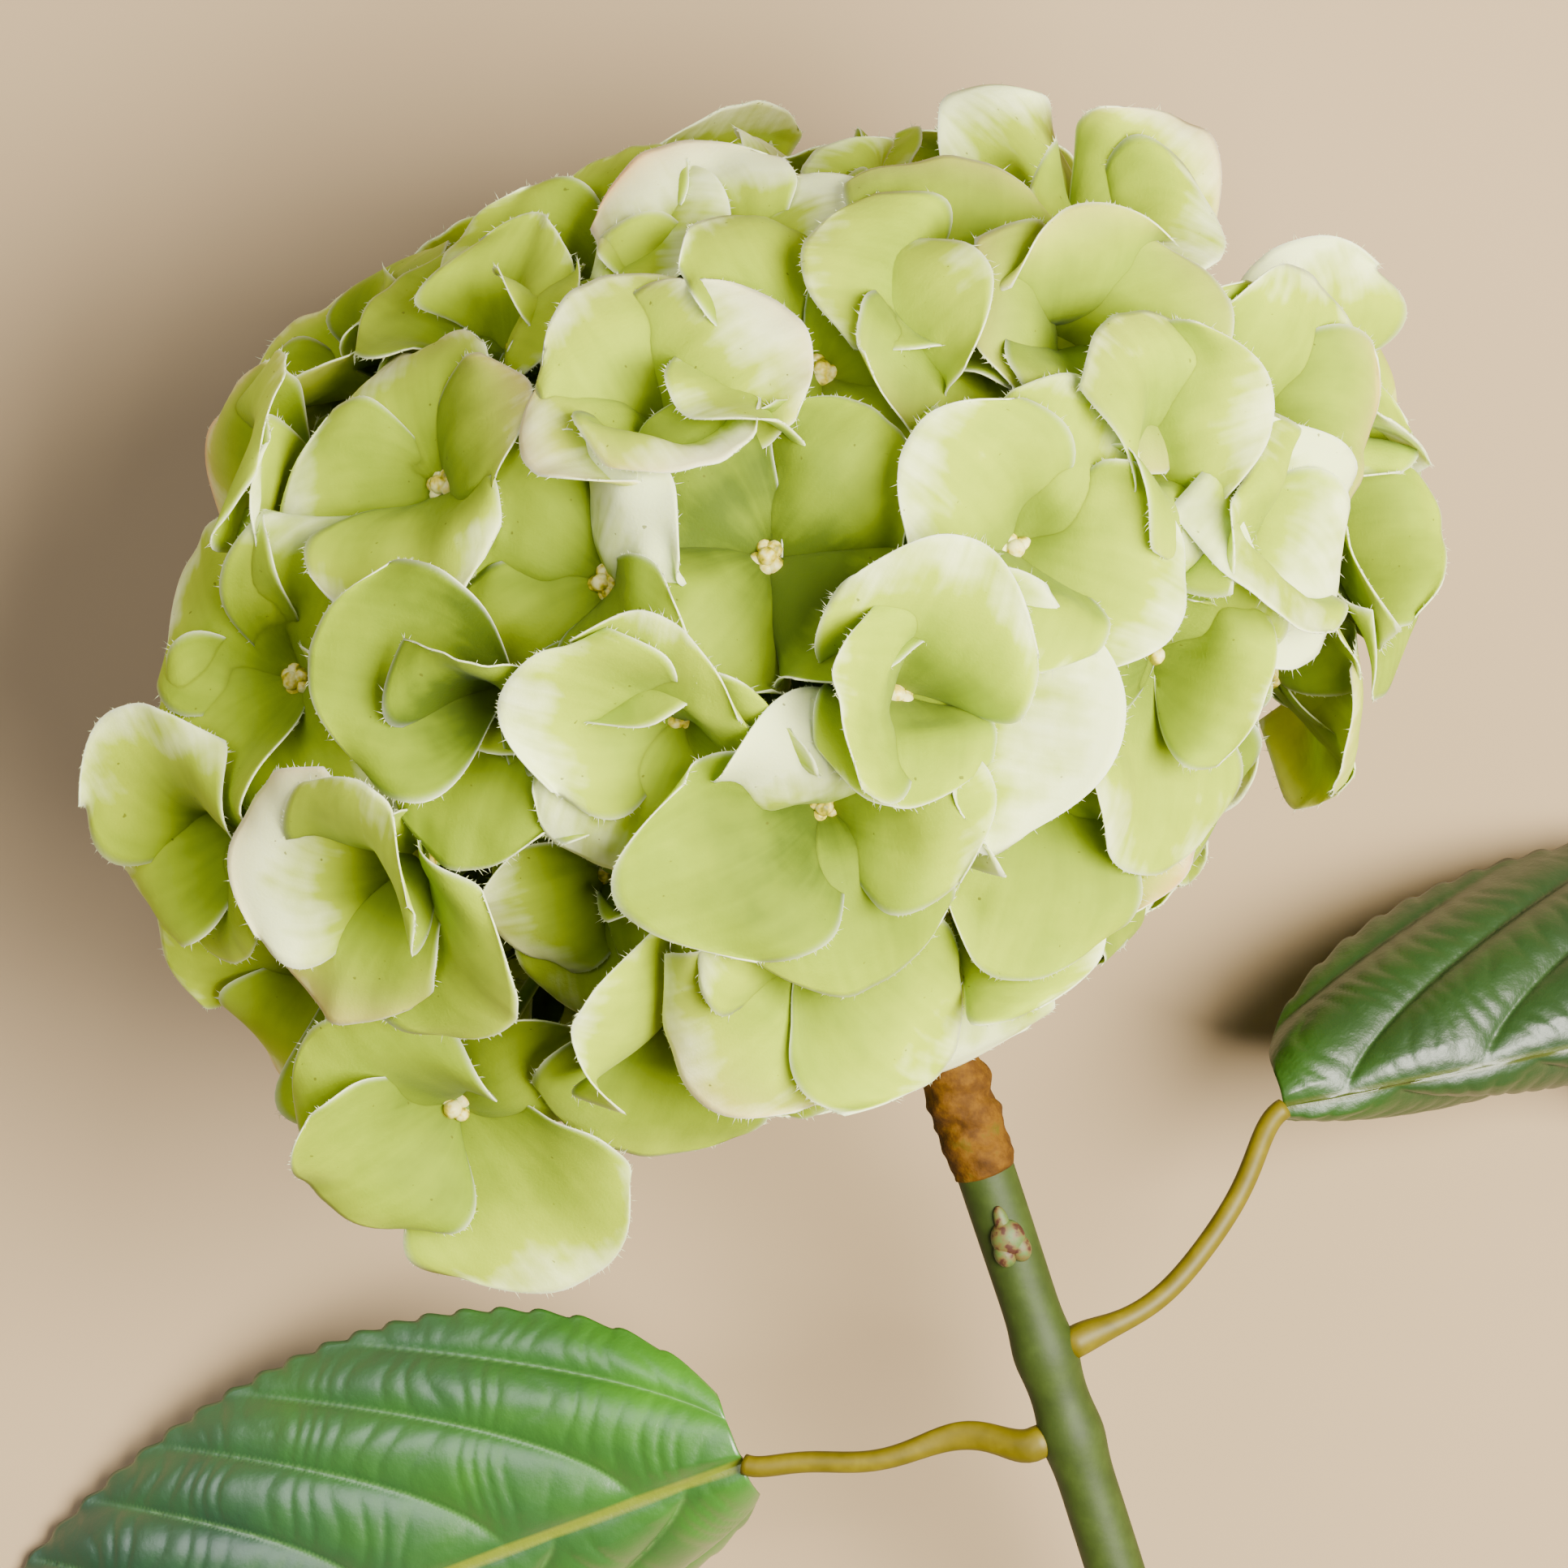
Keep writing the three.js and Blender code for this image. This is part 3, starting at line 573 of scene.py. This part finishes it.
def floretMesh(i):
    samples = fineSet["samples"]
    size = samples * samples
    weights = splineMatrix(grid, samples)
    u, v = np.meshgrid(np.linspace(0, 1, samples), np.linspace(-1, 1, samples), indexing="ij")
    rim = np.maximum(np.abs(v), u)
    around = np.arctan2(v, 1.2 * (u - 0.45))
    quads = gridFaces(samples, samples)
    ring = rimOf(samples, samples)
    nextRing = np.roll(ring, -1)
    edge = np.zeros(size)
    edge[ring] = 1.0
    points, faces, slots = [], [], []
    values = {name: [] for name in ("along", "across", "rim", "edge", "tone", "blush", "depth")}
    total = 0
    dice = np.random.default_rng(1000 + i)
    for petal in range(4):
        fine = np.einsum("ac,cdk,bd->abk", weights, grown[i, petal], weights)
        across = unit(np.gradient(fine, axis=1))
        length = unit(np.gradient(fine, axis=0))
        normal = unit(np.cross(length, across))
        lift = fineSet["ruffle"] * rim ** 5 * np.sin(9 * around + dice.uniform(0, 6.28))
        lift += fineSet["crease"] * np.sin(v * 10 + dice.uniform(0, 6.28)) * np.sin(np.pi * u) * (1.2 - u)
        fine = fine + normal * lift[..., None]
        half = petalSet["thick"] / 2
        points += [(fine + normal * half).reshape(-1, 3), (fine - normal * half).reshape(-1, 3)]
        faces += [quads + total, quads[:, ::-1] + total + size]
        faces.append(np.stack([ring, ring + size, nextRing + size, nextRing], axis=1) + total)
        slots += [np.zeros(len(quads)), np.zeros(len(quads)), np.ones(len(ring))]
        # painted shade: how far each point lies inside the outline of the head's florets, later drawn as
        # darker green
        sunk = reachAlong(ways[i]) + fineSet["shadeFrom"] - np.linalg.norm(fine - headCentre, axis=-1)
        depth = np.clip(sunk / fineSet["shadeDepth"], 0, 1) ** 1.2 * 0.8
        tone = toneOf[i] + dice.normal() * 0.12 + petalTones.get((i + 1, petal), 0.0)
        pink = max(blushOf[i] * dice.uniform(0.2, 1.0), petalBlush.get((i + 1, petal), 0.0))
        blush = pink * np.clip((u - 0.45) / 0.55, 0, 1) ** 1.5
        blush = blush * np.clip(0.5 + 0.5 * np.cos(around + dice.uniform(-1, 1)), 0, 1)
        for name, value in (("along", u), ("across", v), ("rim", rim ** 4), ("edge", edge),
                            ("tone", np.full(size, tone)), ("blush", blush), ("depth", depth)):
            values[name] += [value.ravel(), value.ravel()]
        total += 2 * size
        spikes, corners = looseFibres(dice, fine, normal, ring)
        points += spikes
        faces.append(corners + total)
        slots.append(np.ones(len(corners)))
        for name in values:
            values[name].append(np.zeros(len(corners)))
        total += len(corners)
    points = np.concatenate(points)
    points[:, 2] = np.maximum(points[:, 2], fineSet["surface"])
    return makeMesh(f"petals_{i + 1:02d}", points, faces, [cloth, fray], slots,
                    {name: np.concatenate(parts) for name, parts in values.items()})


toneOf = dice.normal(0.0, 0.16, florets)
blushOf = np.clip(dice.normal(-0.1, 0.35, florets), 0, 1)
for i in range(florets):
    piece = floretMesh(i)
    if i < len(floretNodes):
        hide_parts(floretNodes[i])
print("petals made")

# Beads and their stalks
beadSet = dict(foot=1.3, middle=0.9, middleBall=1.25, balls=5, ring=1.35, ball=1.15, sides=12, rows=8)
pedicelSet = dict(rings=10, sides=8, into=1.0, top=0.8, radii=[0.8, 0.9, 1.9], places=[0, 0.75, 1])


def ballPoints(centre, radius, sides, rows):
    tall, turn = np.meshgrid(np.linspace(0.02, np.pi - 0.02, rows),
                             np.linspace(0, 2 * np.pi, sides, endpoint=False), indexing="ij")
    shell = np.stack([np.sin(tall) * np.cos(turn), np.sin(tall) * np.sin(turn), np.cos(tall)], axis=-1)
    return centre + radius * shell.reshape(-1, 3)


def beadMaterial():  # a dull cream crumb with yellow and olive in its hollows
    material, shader = newMaterial("moulded polystyrene bead, cream brushed with yellow")
    patch = addNode(material, "ShaderNodeTexNoise", {  # dabs of paint, mm
        "Vector": addNode(material, "ShaderNodeTexCoord", {}, "Object"),
        "Scale": 1 / (1.429 * mm), "Detail": 2.0, "Roughness": 0.55})
    colour = addNode(material, "ShaderNodeValToRGB", {"Fac": patch}, stops=[
        (0.36, "7E7A08"), (0.46, "C8B41C"), (0.62, "E0D888")])
    connect(material, shader, {"Base Color": colour, "Roughness": 0.5, "Subsurface Weight": 0.15,
                               "Subsurface Scale": 0.0008})
    return material


def pedicelMaterial():  # the softly shining green that shows between florets
    material, shader = newMaterial("moulded polyethylene stalk, satin green")
    connect(material, shader, {"Base Color": linear("6E8A35"), "Roughness": 0.55})
    return material


beadLook, pedicelLook = beadMaterial(), pedicelMaterial()
for i in range(florets):
    right, above, normal = facing[i]
    dice = np.random.default_rng(3000 + i)
    base = seats[i] + normal * beadSet["foot"]
    balls = [(base + normal * beadSet["middle"], beadSet["middleBall"])]
    for k in range(beadSet["balls"]):
        angle = k * 2 * np.pi / beadSet["balls"] + dice.uniform(0, 1)
        balls.append((base + beadSet["ring"] * (right * math.cos(angle) + above * math.sin(angle))
                      + normal * dice.uniform(-0.2, 0.4), beadSet["ball"] * dice.uniform(0.85, 1.1)))
    shells = [ballPoints(c, r, beadSet["sides"], beadSet["rows"]) for c, r in balls]
    size = beadSet["sides"] * beadSet["rows"]
    faces = [gridFaces(beadSet["rows"], beadSet["sides"], k * size, wrap=True)[:, ::-1]
             for k in range(len(shells))]
    piece = makeMesh(f"bead_{i + 1:02d}", np.concatenate(shells), faces, [beadLook])
    start = headCentre + ways[i] * (hubSet["radius"] - pedicelSet["into"])
    share = np.linspace(0, 1, pedicelSet["rings"])
    path = start + share[:, None] * (seats[i] + normal * pedicelSet["top"] - start)
    radii = np.interp(share, pedicelSet["places"], pedicelSet["radii"])
    piece = closedTube(f"pedicel_{i + 1:02d}", tubeRings(path, radii, pedicelSet["sides"]), pedicelLook)
print("beads made")

# Hub and neck, mostly hidden by the petals
side = unit(np.cross(neckWay, np.array([0.0, 0.0, 1.0])))
deep = np.cross(side, neckWay)
turn = np.linspace(0, 2 * np.pi, 32, endpoint=False)
hubRings = []
for tall in np.linspace(0.02, np.pi - 0.02, 20):
    hubRings.append(headCentre - neckWay * hubSet["radius"] * math.cos(tall)
                    + hubSet["radius"] * math.sin(tall) * (
                        np.cos(turn)[:, None] * side + np.sin(turn)[:, None] * deep))
hub = closedTube("hub_ball", np.array(hubRings), pedicelLook)
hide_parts("flower_hub")
neckLength = np.linalg.norm(caneLine[0] - headCentre) + 4  # it runs on into the cane
neckPath = headCentre + neckWay * np.linspace(10, neckLength, 24)[:, None]
neck = closedTube("hub_neck", tubeRings(neckPath, np.full(24, hubSet["neck"]), 24), pedicelLook)

# Cane
caneSet = dict(radius=3.85, wave=0.05, waveLength=9.0, swelling=0.55, swellLength=3.6, sides=40,
               dark="263404", olive="2D3C08", pale="344410", dot="2A380A",
               streakSize=3.333, dotGap=0.6667)  # sizes in mm


def caneMaterial():  # an even olive with a soft gleam along the lit side, and faint darker dots
    material, shader = newMaterial("moulded polyethylene cane, satin olive")
    place = addNode(material, "ShaderNodeTexCoord", {}, "Object")
    streak, dot = (addNode(material, "ShaderNodeTexNoise", {
        "Vector": place, "Scale": 1 / (size * mm), "Detail": detail, "Roughness": 0.55})
        for size, detail in ((caneSet["streakSize"], 3.0), (caneSet["dotGap"], 2.0)))
    colour = addNode(material, "ShaderNodeValToRGB", {"Fac": streak}, stops=[
        (0.3, caneSet["dark"]), (0.55, caneSet["olive"]), (0.75, caneSet["pale"])])
    dots = addNode(material, "ShaderNodeMapRange", {"Value": dot, "From Min": 0.66, "From Max": 0.74})
    colour = addNode(material, "ShaderNodeMix", {0: dots, 6: colour, 7: linear(caneSet["dot"])}, 2,
                     data_type="RGBA")
    connect(material, shader, {
        "Base Color": colour, "Roughness": 0.6, "IOR": 1.5, "Specular IOR Level": 0.35,
        "Normal": addNode(material, "ShaderNodeBump", {
            "Height": dot, "Strength": 0.10, "Distance": 0.0002})})
    return material


stalks, stalkFeet = {}, []
for name in ("leaf_stalk_right", "leaf_stalk_left"):
    line = centreLine(name, 60, 6)
    distance = [np.linalg.norm(caneLine - line[k], axis=1).min() for k in (0, -1)]
    if distance[1] < distance[0]:  # it starts at the cane
        line = line[::-1]
    stalks[name] = line
    stalkFeet.append(np.argmin(np.linalg.norm(caneLine - line[0], axis=1)))
travel = np.concatenate([[0], np.cumsum(np.linalg.norm(np.diff(caneLine, axis=0), axis=1))])
radii = caneSet["radius"] + caneSet["wave"] * np.sin(travel / caneSet["waveLength"])
for foot in stalkFeet:
    radii = radii + caneSet["swelling"] * np.exp(-((travel - travel[foot]) / caneSet["swellLength"]) ** 2)
cane = closedTube("cane_moulding", tubeRings(caneLine, radii, caneSet["sides"]), caneMaterial())
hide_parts("cane")

# Collar
collarSet = dict(half=9.9, radius=4.45, rings=60, sides=48, lumps=[(0.22, 4.0, 3), (0.12, 1.8, 4)],
                 endDrop=0.5, glueSize=3.846, grainSize=1.111)  # mm; lumps are (height, size, seed)


def tapeMaterial():  # dull and crumpled, rust to umber, with a little green showing through
    material, shader = newMaterial("waxed floral tape, smeared with brown glue")
    place = addNode(material, "ShaderNodeTexCoord", {}, "Object")
    glue = addNode(material, "ShaderNodeTexNoise", {
        "Vector": place, "Scale": 1 / (collarSet["glueSize"] * mm), "Detail": 4.0, "Roughness": 0.65})
    grain = addNode(material, "ShaderNodeTexNoise", {
        "Vector": place, "Scale": 1 / (collarSet["grainSize"] * mm), "Detail": 3.0, "Roughness": 0.55})
    colour = addNode(material, "ShaderNodeValToRGB", {"Fac": glue}, stops=[
        (0.3, "382000"), (0.45, "4C2E00"), (0.58, "603E00"), (0.74, "4C4400")])
    connect(material, shader, {
        "Base Color": colour, "Roughness": 0.8, "Specular IOR Level": 0.2,
        "Normal": addNode(material, "ShaderNodeBump", {
            "Height": grain, "Strength": 0.5, "Distance": 0.0004})})
    return material


collarLow, collarHigh = (np.array(v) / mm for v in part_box("tape_collar"))
collarWay = unit(caneLine[12] - caneLine[0])
share = np.linspace(-1, 1, collarSet["rings"])
collarPath = np.linspace(-collarSet["half"], collarSet["half"], collarSet["rings"])
collarPath = (collarLow + collarHigh) / 2 + collarWay * collarPath[:, None]
rings = tubeRings(collarPath, np.full(collarSet["rings"], collarSet["radius"]), collarSet["sides"])
lumps = sum(height * wobble(rings, size, seed) for height, size, seed in collarSet["lumps"])
lumps -= collarSet["endDrop"] * np.abs(share)[:, None] ** 8
rings = rings + unit(rings - collarPath[:, None]) * lumps[..., None]
collar = closedTube("tape_wrap", rings, tapeMaterial())
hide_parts("tape_collar")

# Bud scar
budSet = dict(out=4.0, sides=20, rows=14, scarSize=1.613, scales=[  # mm: ahead, aside, long, wide, tall
    (-0.3, 0.0, 2.6, 2.3, 1.7), (1.6, 1.0, 1.9, 1.5, 1.4), (1.5, -1.1, 1.9, 1.5, 1.4),
    (-2.6, 0.1, 2.4, 1.0, 0.9)])


def budMaterial():  # a dry little knob, pale green broken by red-brown
    material, shader = newMaterial("moulded polyethylene, pale green with red-brown scars")
    scars = addNode(material, "ShaderNodeTexNoise", {
        "Vector": addNode(material, "ShaderNodeTexCoord", {}, "Object"),
        "Scale": 1 / (budSet["scarSize"] * mm), "Detail": 3.0, "Roughness": 0.55})
    colour = addNode(material, "ShaderNodeValToRGB", {"Fac": scars}, stops=[
        (0.38, "3C1A08"), (0.45, "5C4A20"), (0.6, "4C6026"), (0.8, "384C18")])
    connect(material, shader, {"Base Color": colour, "Roughness": 0.6})
    return material


budLow, budHigh = (np.array(v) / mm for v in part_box("bud"))
budCentre = (budLow + budHigh) / 2
nearCane = np.argmin(np.linalg.norm(caneLine - budCentre, axis=1))
budWay = unit(caneLine[nearCane + 3] - caneLine[nearCane - 3])
budOut = unit(budCentre - caneLine[nearCane])
budOut = unit(budOut - budWay * (budOut @ budWay))
budSide = np.cross(budWay, budOut)
shells = []
for ahead, aside, long, wide, tall in budSet["scales"]:
    ball = ballPoints(np.zeros(3), 1.0, budSet["sides"], budSet["rows"])
    centre = caneLine[nearCane] + budOut * budSet["out"] + budWay * ahead + budSide * aside
    shells.append(centre + ball[:, :1] * budWay * long + ball[:, 1:2] * budSide * wide
                  + ball[:, 2:] * budOut * tall)
faces = [gridFaces(budSet["rows"], budSet["sides"], k * len(shells[0]), wrap=True)
         for k in range(len(shells))]
bud = makeMesh("bud_scales", np.concatenate(shells), faces, [budMaterial()])
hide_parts("bud")

# Leaf stalks
stalkSet = dict(radius=1.45, foot=0.75, footShare=0.10, sunk=1.6, sunkRadius=2.2, sides=20,
                flat=0.35, flatPlace=0.22, flatShare=0.16, patchSize=4.167)  # mm and shares of the length


def stalkMaterial():  # ochre yellow with a soft highlight
    material, shader = newMaterial("moulded polyethylene leaf stalk, satin yellow")
    patch = addNode(material, "ShaderNodeTexNoise", {
        "Vector": addNode(material, "ShaderNodeTexCoord", {}, "Object"),
        "Scale": 1 / (stalkSet["patchSize"] * mm), "Detail": 3.0, "Roughness": 0.55})
    colour = addNode(material, "ShaderNodeValToRGB", {"Fac": patch}, stops=[
        (0.3, "544A00"), (0.55, "625600"), (0.75, "706400")])
    connect(material, shader, {"Base Color": colour, "Roughness": 0.5, "Specular IOR Level": 0.3})
    return material


stalkLook = stalkMaterial()
for name, line in stalks.items():
    share = np.linspace(0, 1, len(line))
    radii = stalkSet["radius"] + stalkSet["foot"] * np.exp(-(share / stalkSet["footShare"]) ** 2)
    pinch = np.exp(-((share - stalkSet["flatPlace"]) / stalkSet["flatShare"]) ** 2)
    flat = 1 + stalkSet["flat"] * pinch * (name.endswith("left"))  # the left one is pinched flat
    into = line[0] - unit(line[1] - line[0]) * stalkSet["sunk"]
    rings = tubeRings(np.concatenate([[into], line]), np.concatenate([[stalkSet["sunkRadius"]], radii]),
                      stalkSet["sides"], np.concatenate([[1.0], flat]))
    piece = closedTube(f"{name}_moulding", rings, stalkLook)
    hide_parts(name)

# Leaves
leafSet = dict(length=131.0, width=70.0, thick=0.5, full=0.5, drawn=0.8, veins=6.5, slant=0.40,
               puff=1.9, ladder=3.7, teeth=5.2, tip=0.8, lowest=0.6, rows=280, columns=151,
               shadeSize=22.22, grainSize=2.381)  # sizes in mm; full, drawn and slant are shares
# the two leaves are one material in a lit and a shaded copy: dark is painted shade over the right leaf,
# and its coat is thinned to match
leafSides = {  # degrees: heading in plan, fold of the left and right half; droop shapes the rib's fall
    "leaf_right": dict(heading=11, folds=(42, 88), droop=(1.7, 1.0),
                       finish="dull coat", coat=0.15, dark=0.78),
    "leaf_left": dict(heading=202, folds=(60, 12), droop=(1.0, 1.25),
                      finish="bright coat", coat=0.9, dark=0.0)}


def leafMaterial(finish, coat, dark):  # deep green with a broad pale sheen where the coat is thick; dark paints shade over the whole leaf
    material, shader = newMaterial(f"latex-coated polyester leaf, hot-pressed veins, {finish}")
    along, across, vein = (addNode(material, "ShaderNodeAttribute", {}, "Fac", attribute_name=name)
                           for name in ("along", "across", "vein"))
    place = addNode(material, "ShaderNodeTexCoord", {}, "Object")
    patch = addNode(material, "ShaderNodeTexNoise", {
        "Vector": place, "Scale": 1 / (leafSet["shadeSize"] * mm), "Detail": 3.0, "Roughness": 0.55})
    shade = addNode(material, "ShaderNodeMath", {0: along, 1: patch}, operation="ADD")
    shade = addNode(material, "ShaderNodeMapRange", {"Value": shade, "From Min": 0.4, "From Max": 1.5})
    colour = addNode(material, "ShaderNodeValToRGB", {"Fac": shade}, stops=[
        (0.0, "3C7810"), (0.22, "2B5C16"), (0.5, "234C20"), (0.8, "16381F")])
    rib = addNode(material, "ShaderNodeMapRange", {"Value": across, "From Min": 0.033, "From Max": 0.018})
    # dark is painted shade: it darkens a whole leaf towards 16240A, for the leaf that lies out of the
    # light
    for cover, over in ((vein, "5E8840"), (rib, "6E7A10"), (dark, "16240A")):
        colour = addNode(material, "ShaderNodeMix", {0: cover, 6: colour, 7: linear(over)}, 2,
                         data_type="RGBA")
    grain = addNode(material, "ShaderNodeTexNoise", {  # pressed grain of the cloth
        "Vector": place, "Scale": 1 / (leafSet["grainSize"] * mm), "Detail": 4.0, "Roughness": 0.6})
    connect(material, shader, {
        "Base Color": colour, "Roughness": 0.42, "IOR": 1.5,
        "Coat Weight": coat, "Coat IOR": 1.6, "Coat Roughness": 0.38,  # brushed latex
        "Normal": addNode(material, "ShaderNodeBump", {
            "Height": grain, "Strength": 0.35, "Distance": 0.0006})})
    return material


def leafBlade(name, base, heading, folds, droop, look):
    rows, columns = leafSet["rows"], leafSet["columns"]
    s, q = np.meshgrid(np.linspace(0, 1, rows), np.linspace(-1, 1, columns), indexing="ij")
    way = np.array([math.cos(heading), math.sin(heading), 0.0])
    cross = np.array([-way[1], way[0], 0.0])
    fall = base[2] - leafSet["tip"]
    reach = math.sqrt(leafSet["length"] ** 2 - fall ** 2)
    ribZ = leafSet["tip"] + fall * (1 - s ** droop[0]) ** droop[1]
    share = 0.015 + 0.97 * s
    widest = leafSet["full"] / (leafSet["full"] + leafSet["drawn"])
    most = widest ** leafSet["full"] * (1 - widest) ** leafSet["drawn"]
    half = leafSet["width"] / 2 * share ** leafSet["full"] * (1 - share) ** leafSet["drawn"] / most
    out = np.abs(q) * half
    tooth = np.sin(np.pi * (s * leafSet["length"] / leafSet["teeth"] % 1.0) ** 1.8)
    out = out + tooth * 0.8 * np.abs(q) ** 24 * np.clip(half / 12, 0, 1)
    wanted = np.where(q > 0, math.radians(folds[0]), math.radians(folds[1])) * (0.75 + 0.25 * np.abs(q))
    lowest = np.arcsin(np.clip((ribZ - leafSet["tip"]) / np.maximum(half, 0.1), 0, 1))
    fold = np.minimum(wanted, lowest)  # no half folds down through the surface
    place = base + way * (reach * s)[..., None] + cross * (np.sign(q) * out * np.cos(fold))[..., None]
    place[..., 2] = ribZ - out * np.sin(fold) + half * np.sin(np.pi * np.abs(q)) * 0.12
    # side veins leave the rib forwards, and the blade puffs up between them
    veinPlace = s - leafSet["slant"] * (out / (leafSet["width"] / 2)) ** 1.55
    phase = (veinPlace + 0.03) * leafSet["veins"] + np.where(q > 0, 0.35, 0.0)
    groove = np.abs(np.sin(np.pi * phase))
    inside = np.clip(half / 16, 0, 1) * (1 - np.abs(q) ** 8) * np.clip(np.abs(q) * 7, 0, 1)
    lift = leafSet["puff"] * (groove ** 0.6 - 0.4) * inside
    lift = lift - 0.7 * np.exp(-(q * half / 1.5) ** 2) * np.clip(half / 10, 0, 1)
    # small veins cross from one side vein to the next like a ladder
    ladder = (s * leafSet["length"] * 0.87 + out * 0.5) / leafSet["ladder"]
    ladder = ladder + 0.6 * wobble(place, 14.0, 8)
    lift = lift + 0.30 * (np.abs(np.sin(np.pi * ladder)) ** 0.7 - 0.6) * inside * groove ** 0.8
    normal = unit(np.cross(np.gradient(place, axis=0), np.gradient(place, axis=1)))
    normal *= np.sign(normal[..., 2:])
    place = place + normal * lift[..., None]
    place[..., 2] = np.maximum(place[..., 2], leafSet["lowest"])
    top, back = place + normal * leafSet["thick"] / 2, place - normal * leafSet["thick"] / 2
    size = rows * columns
    quads = gridFaces(rows, columns)
    ring = rimOf(rows, columns)
    nextRing = np.roll(ring, -1)
    edge = np.stack([ring, ring + size, nextRing + size, nextRing], axis=1)
    vein = np.exp(-(groove / 0.07) ** 2) * inside * 0.4
    values = {"along": s, "across": np.abs(q) * half / 35, "vein": vein}
    piece = makeMesh(f"{name}_blade", np.concatenate([top.reshape(-1, 3), back.reshape(-1, 3)]),
                     [quads, quads[:, ::-1] + size, edge], [look],
                     attributes={key: np.tile(value.ravel(), 2) for key, value in values.items()})
    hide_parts(name)


for name, side in leafSides.items():
    base = stalks[name.replace("leaf", "leaf_stalk")][-1]
    leafBlade(name, base, math.radians(side["heading"]), side["folds"], side["droop"],
              leafMaterial(side["finish"], side["coat"], side["dark"]))
print("leaves made")


# Floor, light and camera
def floorMaterial():  # gives back a warm, even light with no gleam
    material, shader = newMaterial("matte paper sweep, pale beige")
    connect(material, shader, {"Base Color": linear("9D8767"), "Roughness": 0.95})
    return material


bpy.ops.mesh.primitive_plane_add(size=8)
floor = bpy.context.object
floor.name = "floor"
floor.data.materials.append(floorMaterial())

lightSet = [  # name, place from the head's centre in m, size in m, watts, colour
    ("key", (0.55, -0.10, 0.95), 0.7, 66.0, "FFFAF0"),
    ("fill", (-0.7, 0.5, 1.1), 1.0, 15.0, "F4F6FF"),
]
worldSet = dict(colour="F7F1E8", strength=0.16)
centre = Vector(headCentre * mm)
for name, place, size, power, colour in lightSet:
    lamp = bpy.data.lights.new(name, "AREA")
    lamp.size = size
    lamp.energy = power
    lamp.color = linear(colour)[:3]
    light = bpy.data.objects.new(name, lamp)
    light.location = centre + Vector(place)
    light.rotation_mode = "QUATERNION"
    light.rotation_quaternion = (centre - light.location).to_track_quat("-Z", "Y")
    bpy.context.scene.collection.objects.link(light)
world = bpy.data.worlds.new("studio")
world.use_nodes = True
world.node_tree.nodes["Background"].inputs["Color"].default_value = linear(worldSet["colour"])
world.node_tree.nodes["Background"].inputs["Strength"].default_value = worldSet["strength"]
bpy.context.scene.world = world

cameraSet = dict(distance=1.0, lens=177.0, right=0.0026, above=-0.0214)
camera = bpy.data.objects.new("camera", bpy.data.cameras.new("camera"))
camera.data.lens = cameraSet["lens"]
camera.data.sensor_width = 36.0
camera.location = centre + Vector((cameraSet["right"], cameraSet["above"], cameraSet["distance"]))
camera.rotation_euler = (0.0, 0.0, 0.0)  # looks straight down, with the crown of the head upwards
bpy.context.scene.collection.objects.link(camera)
bpy.context.scene.camera = camera
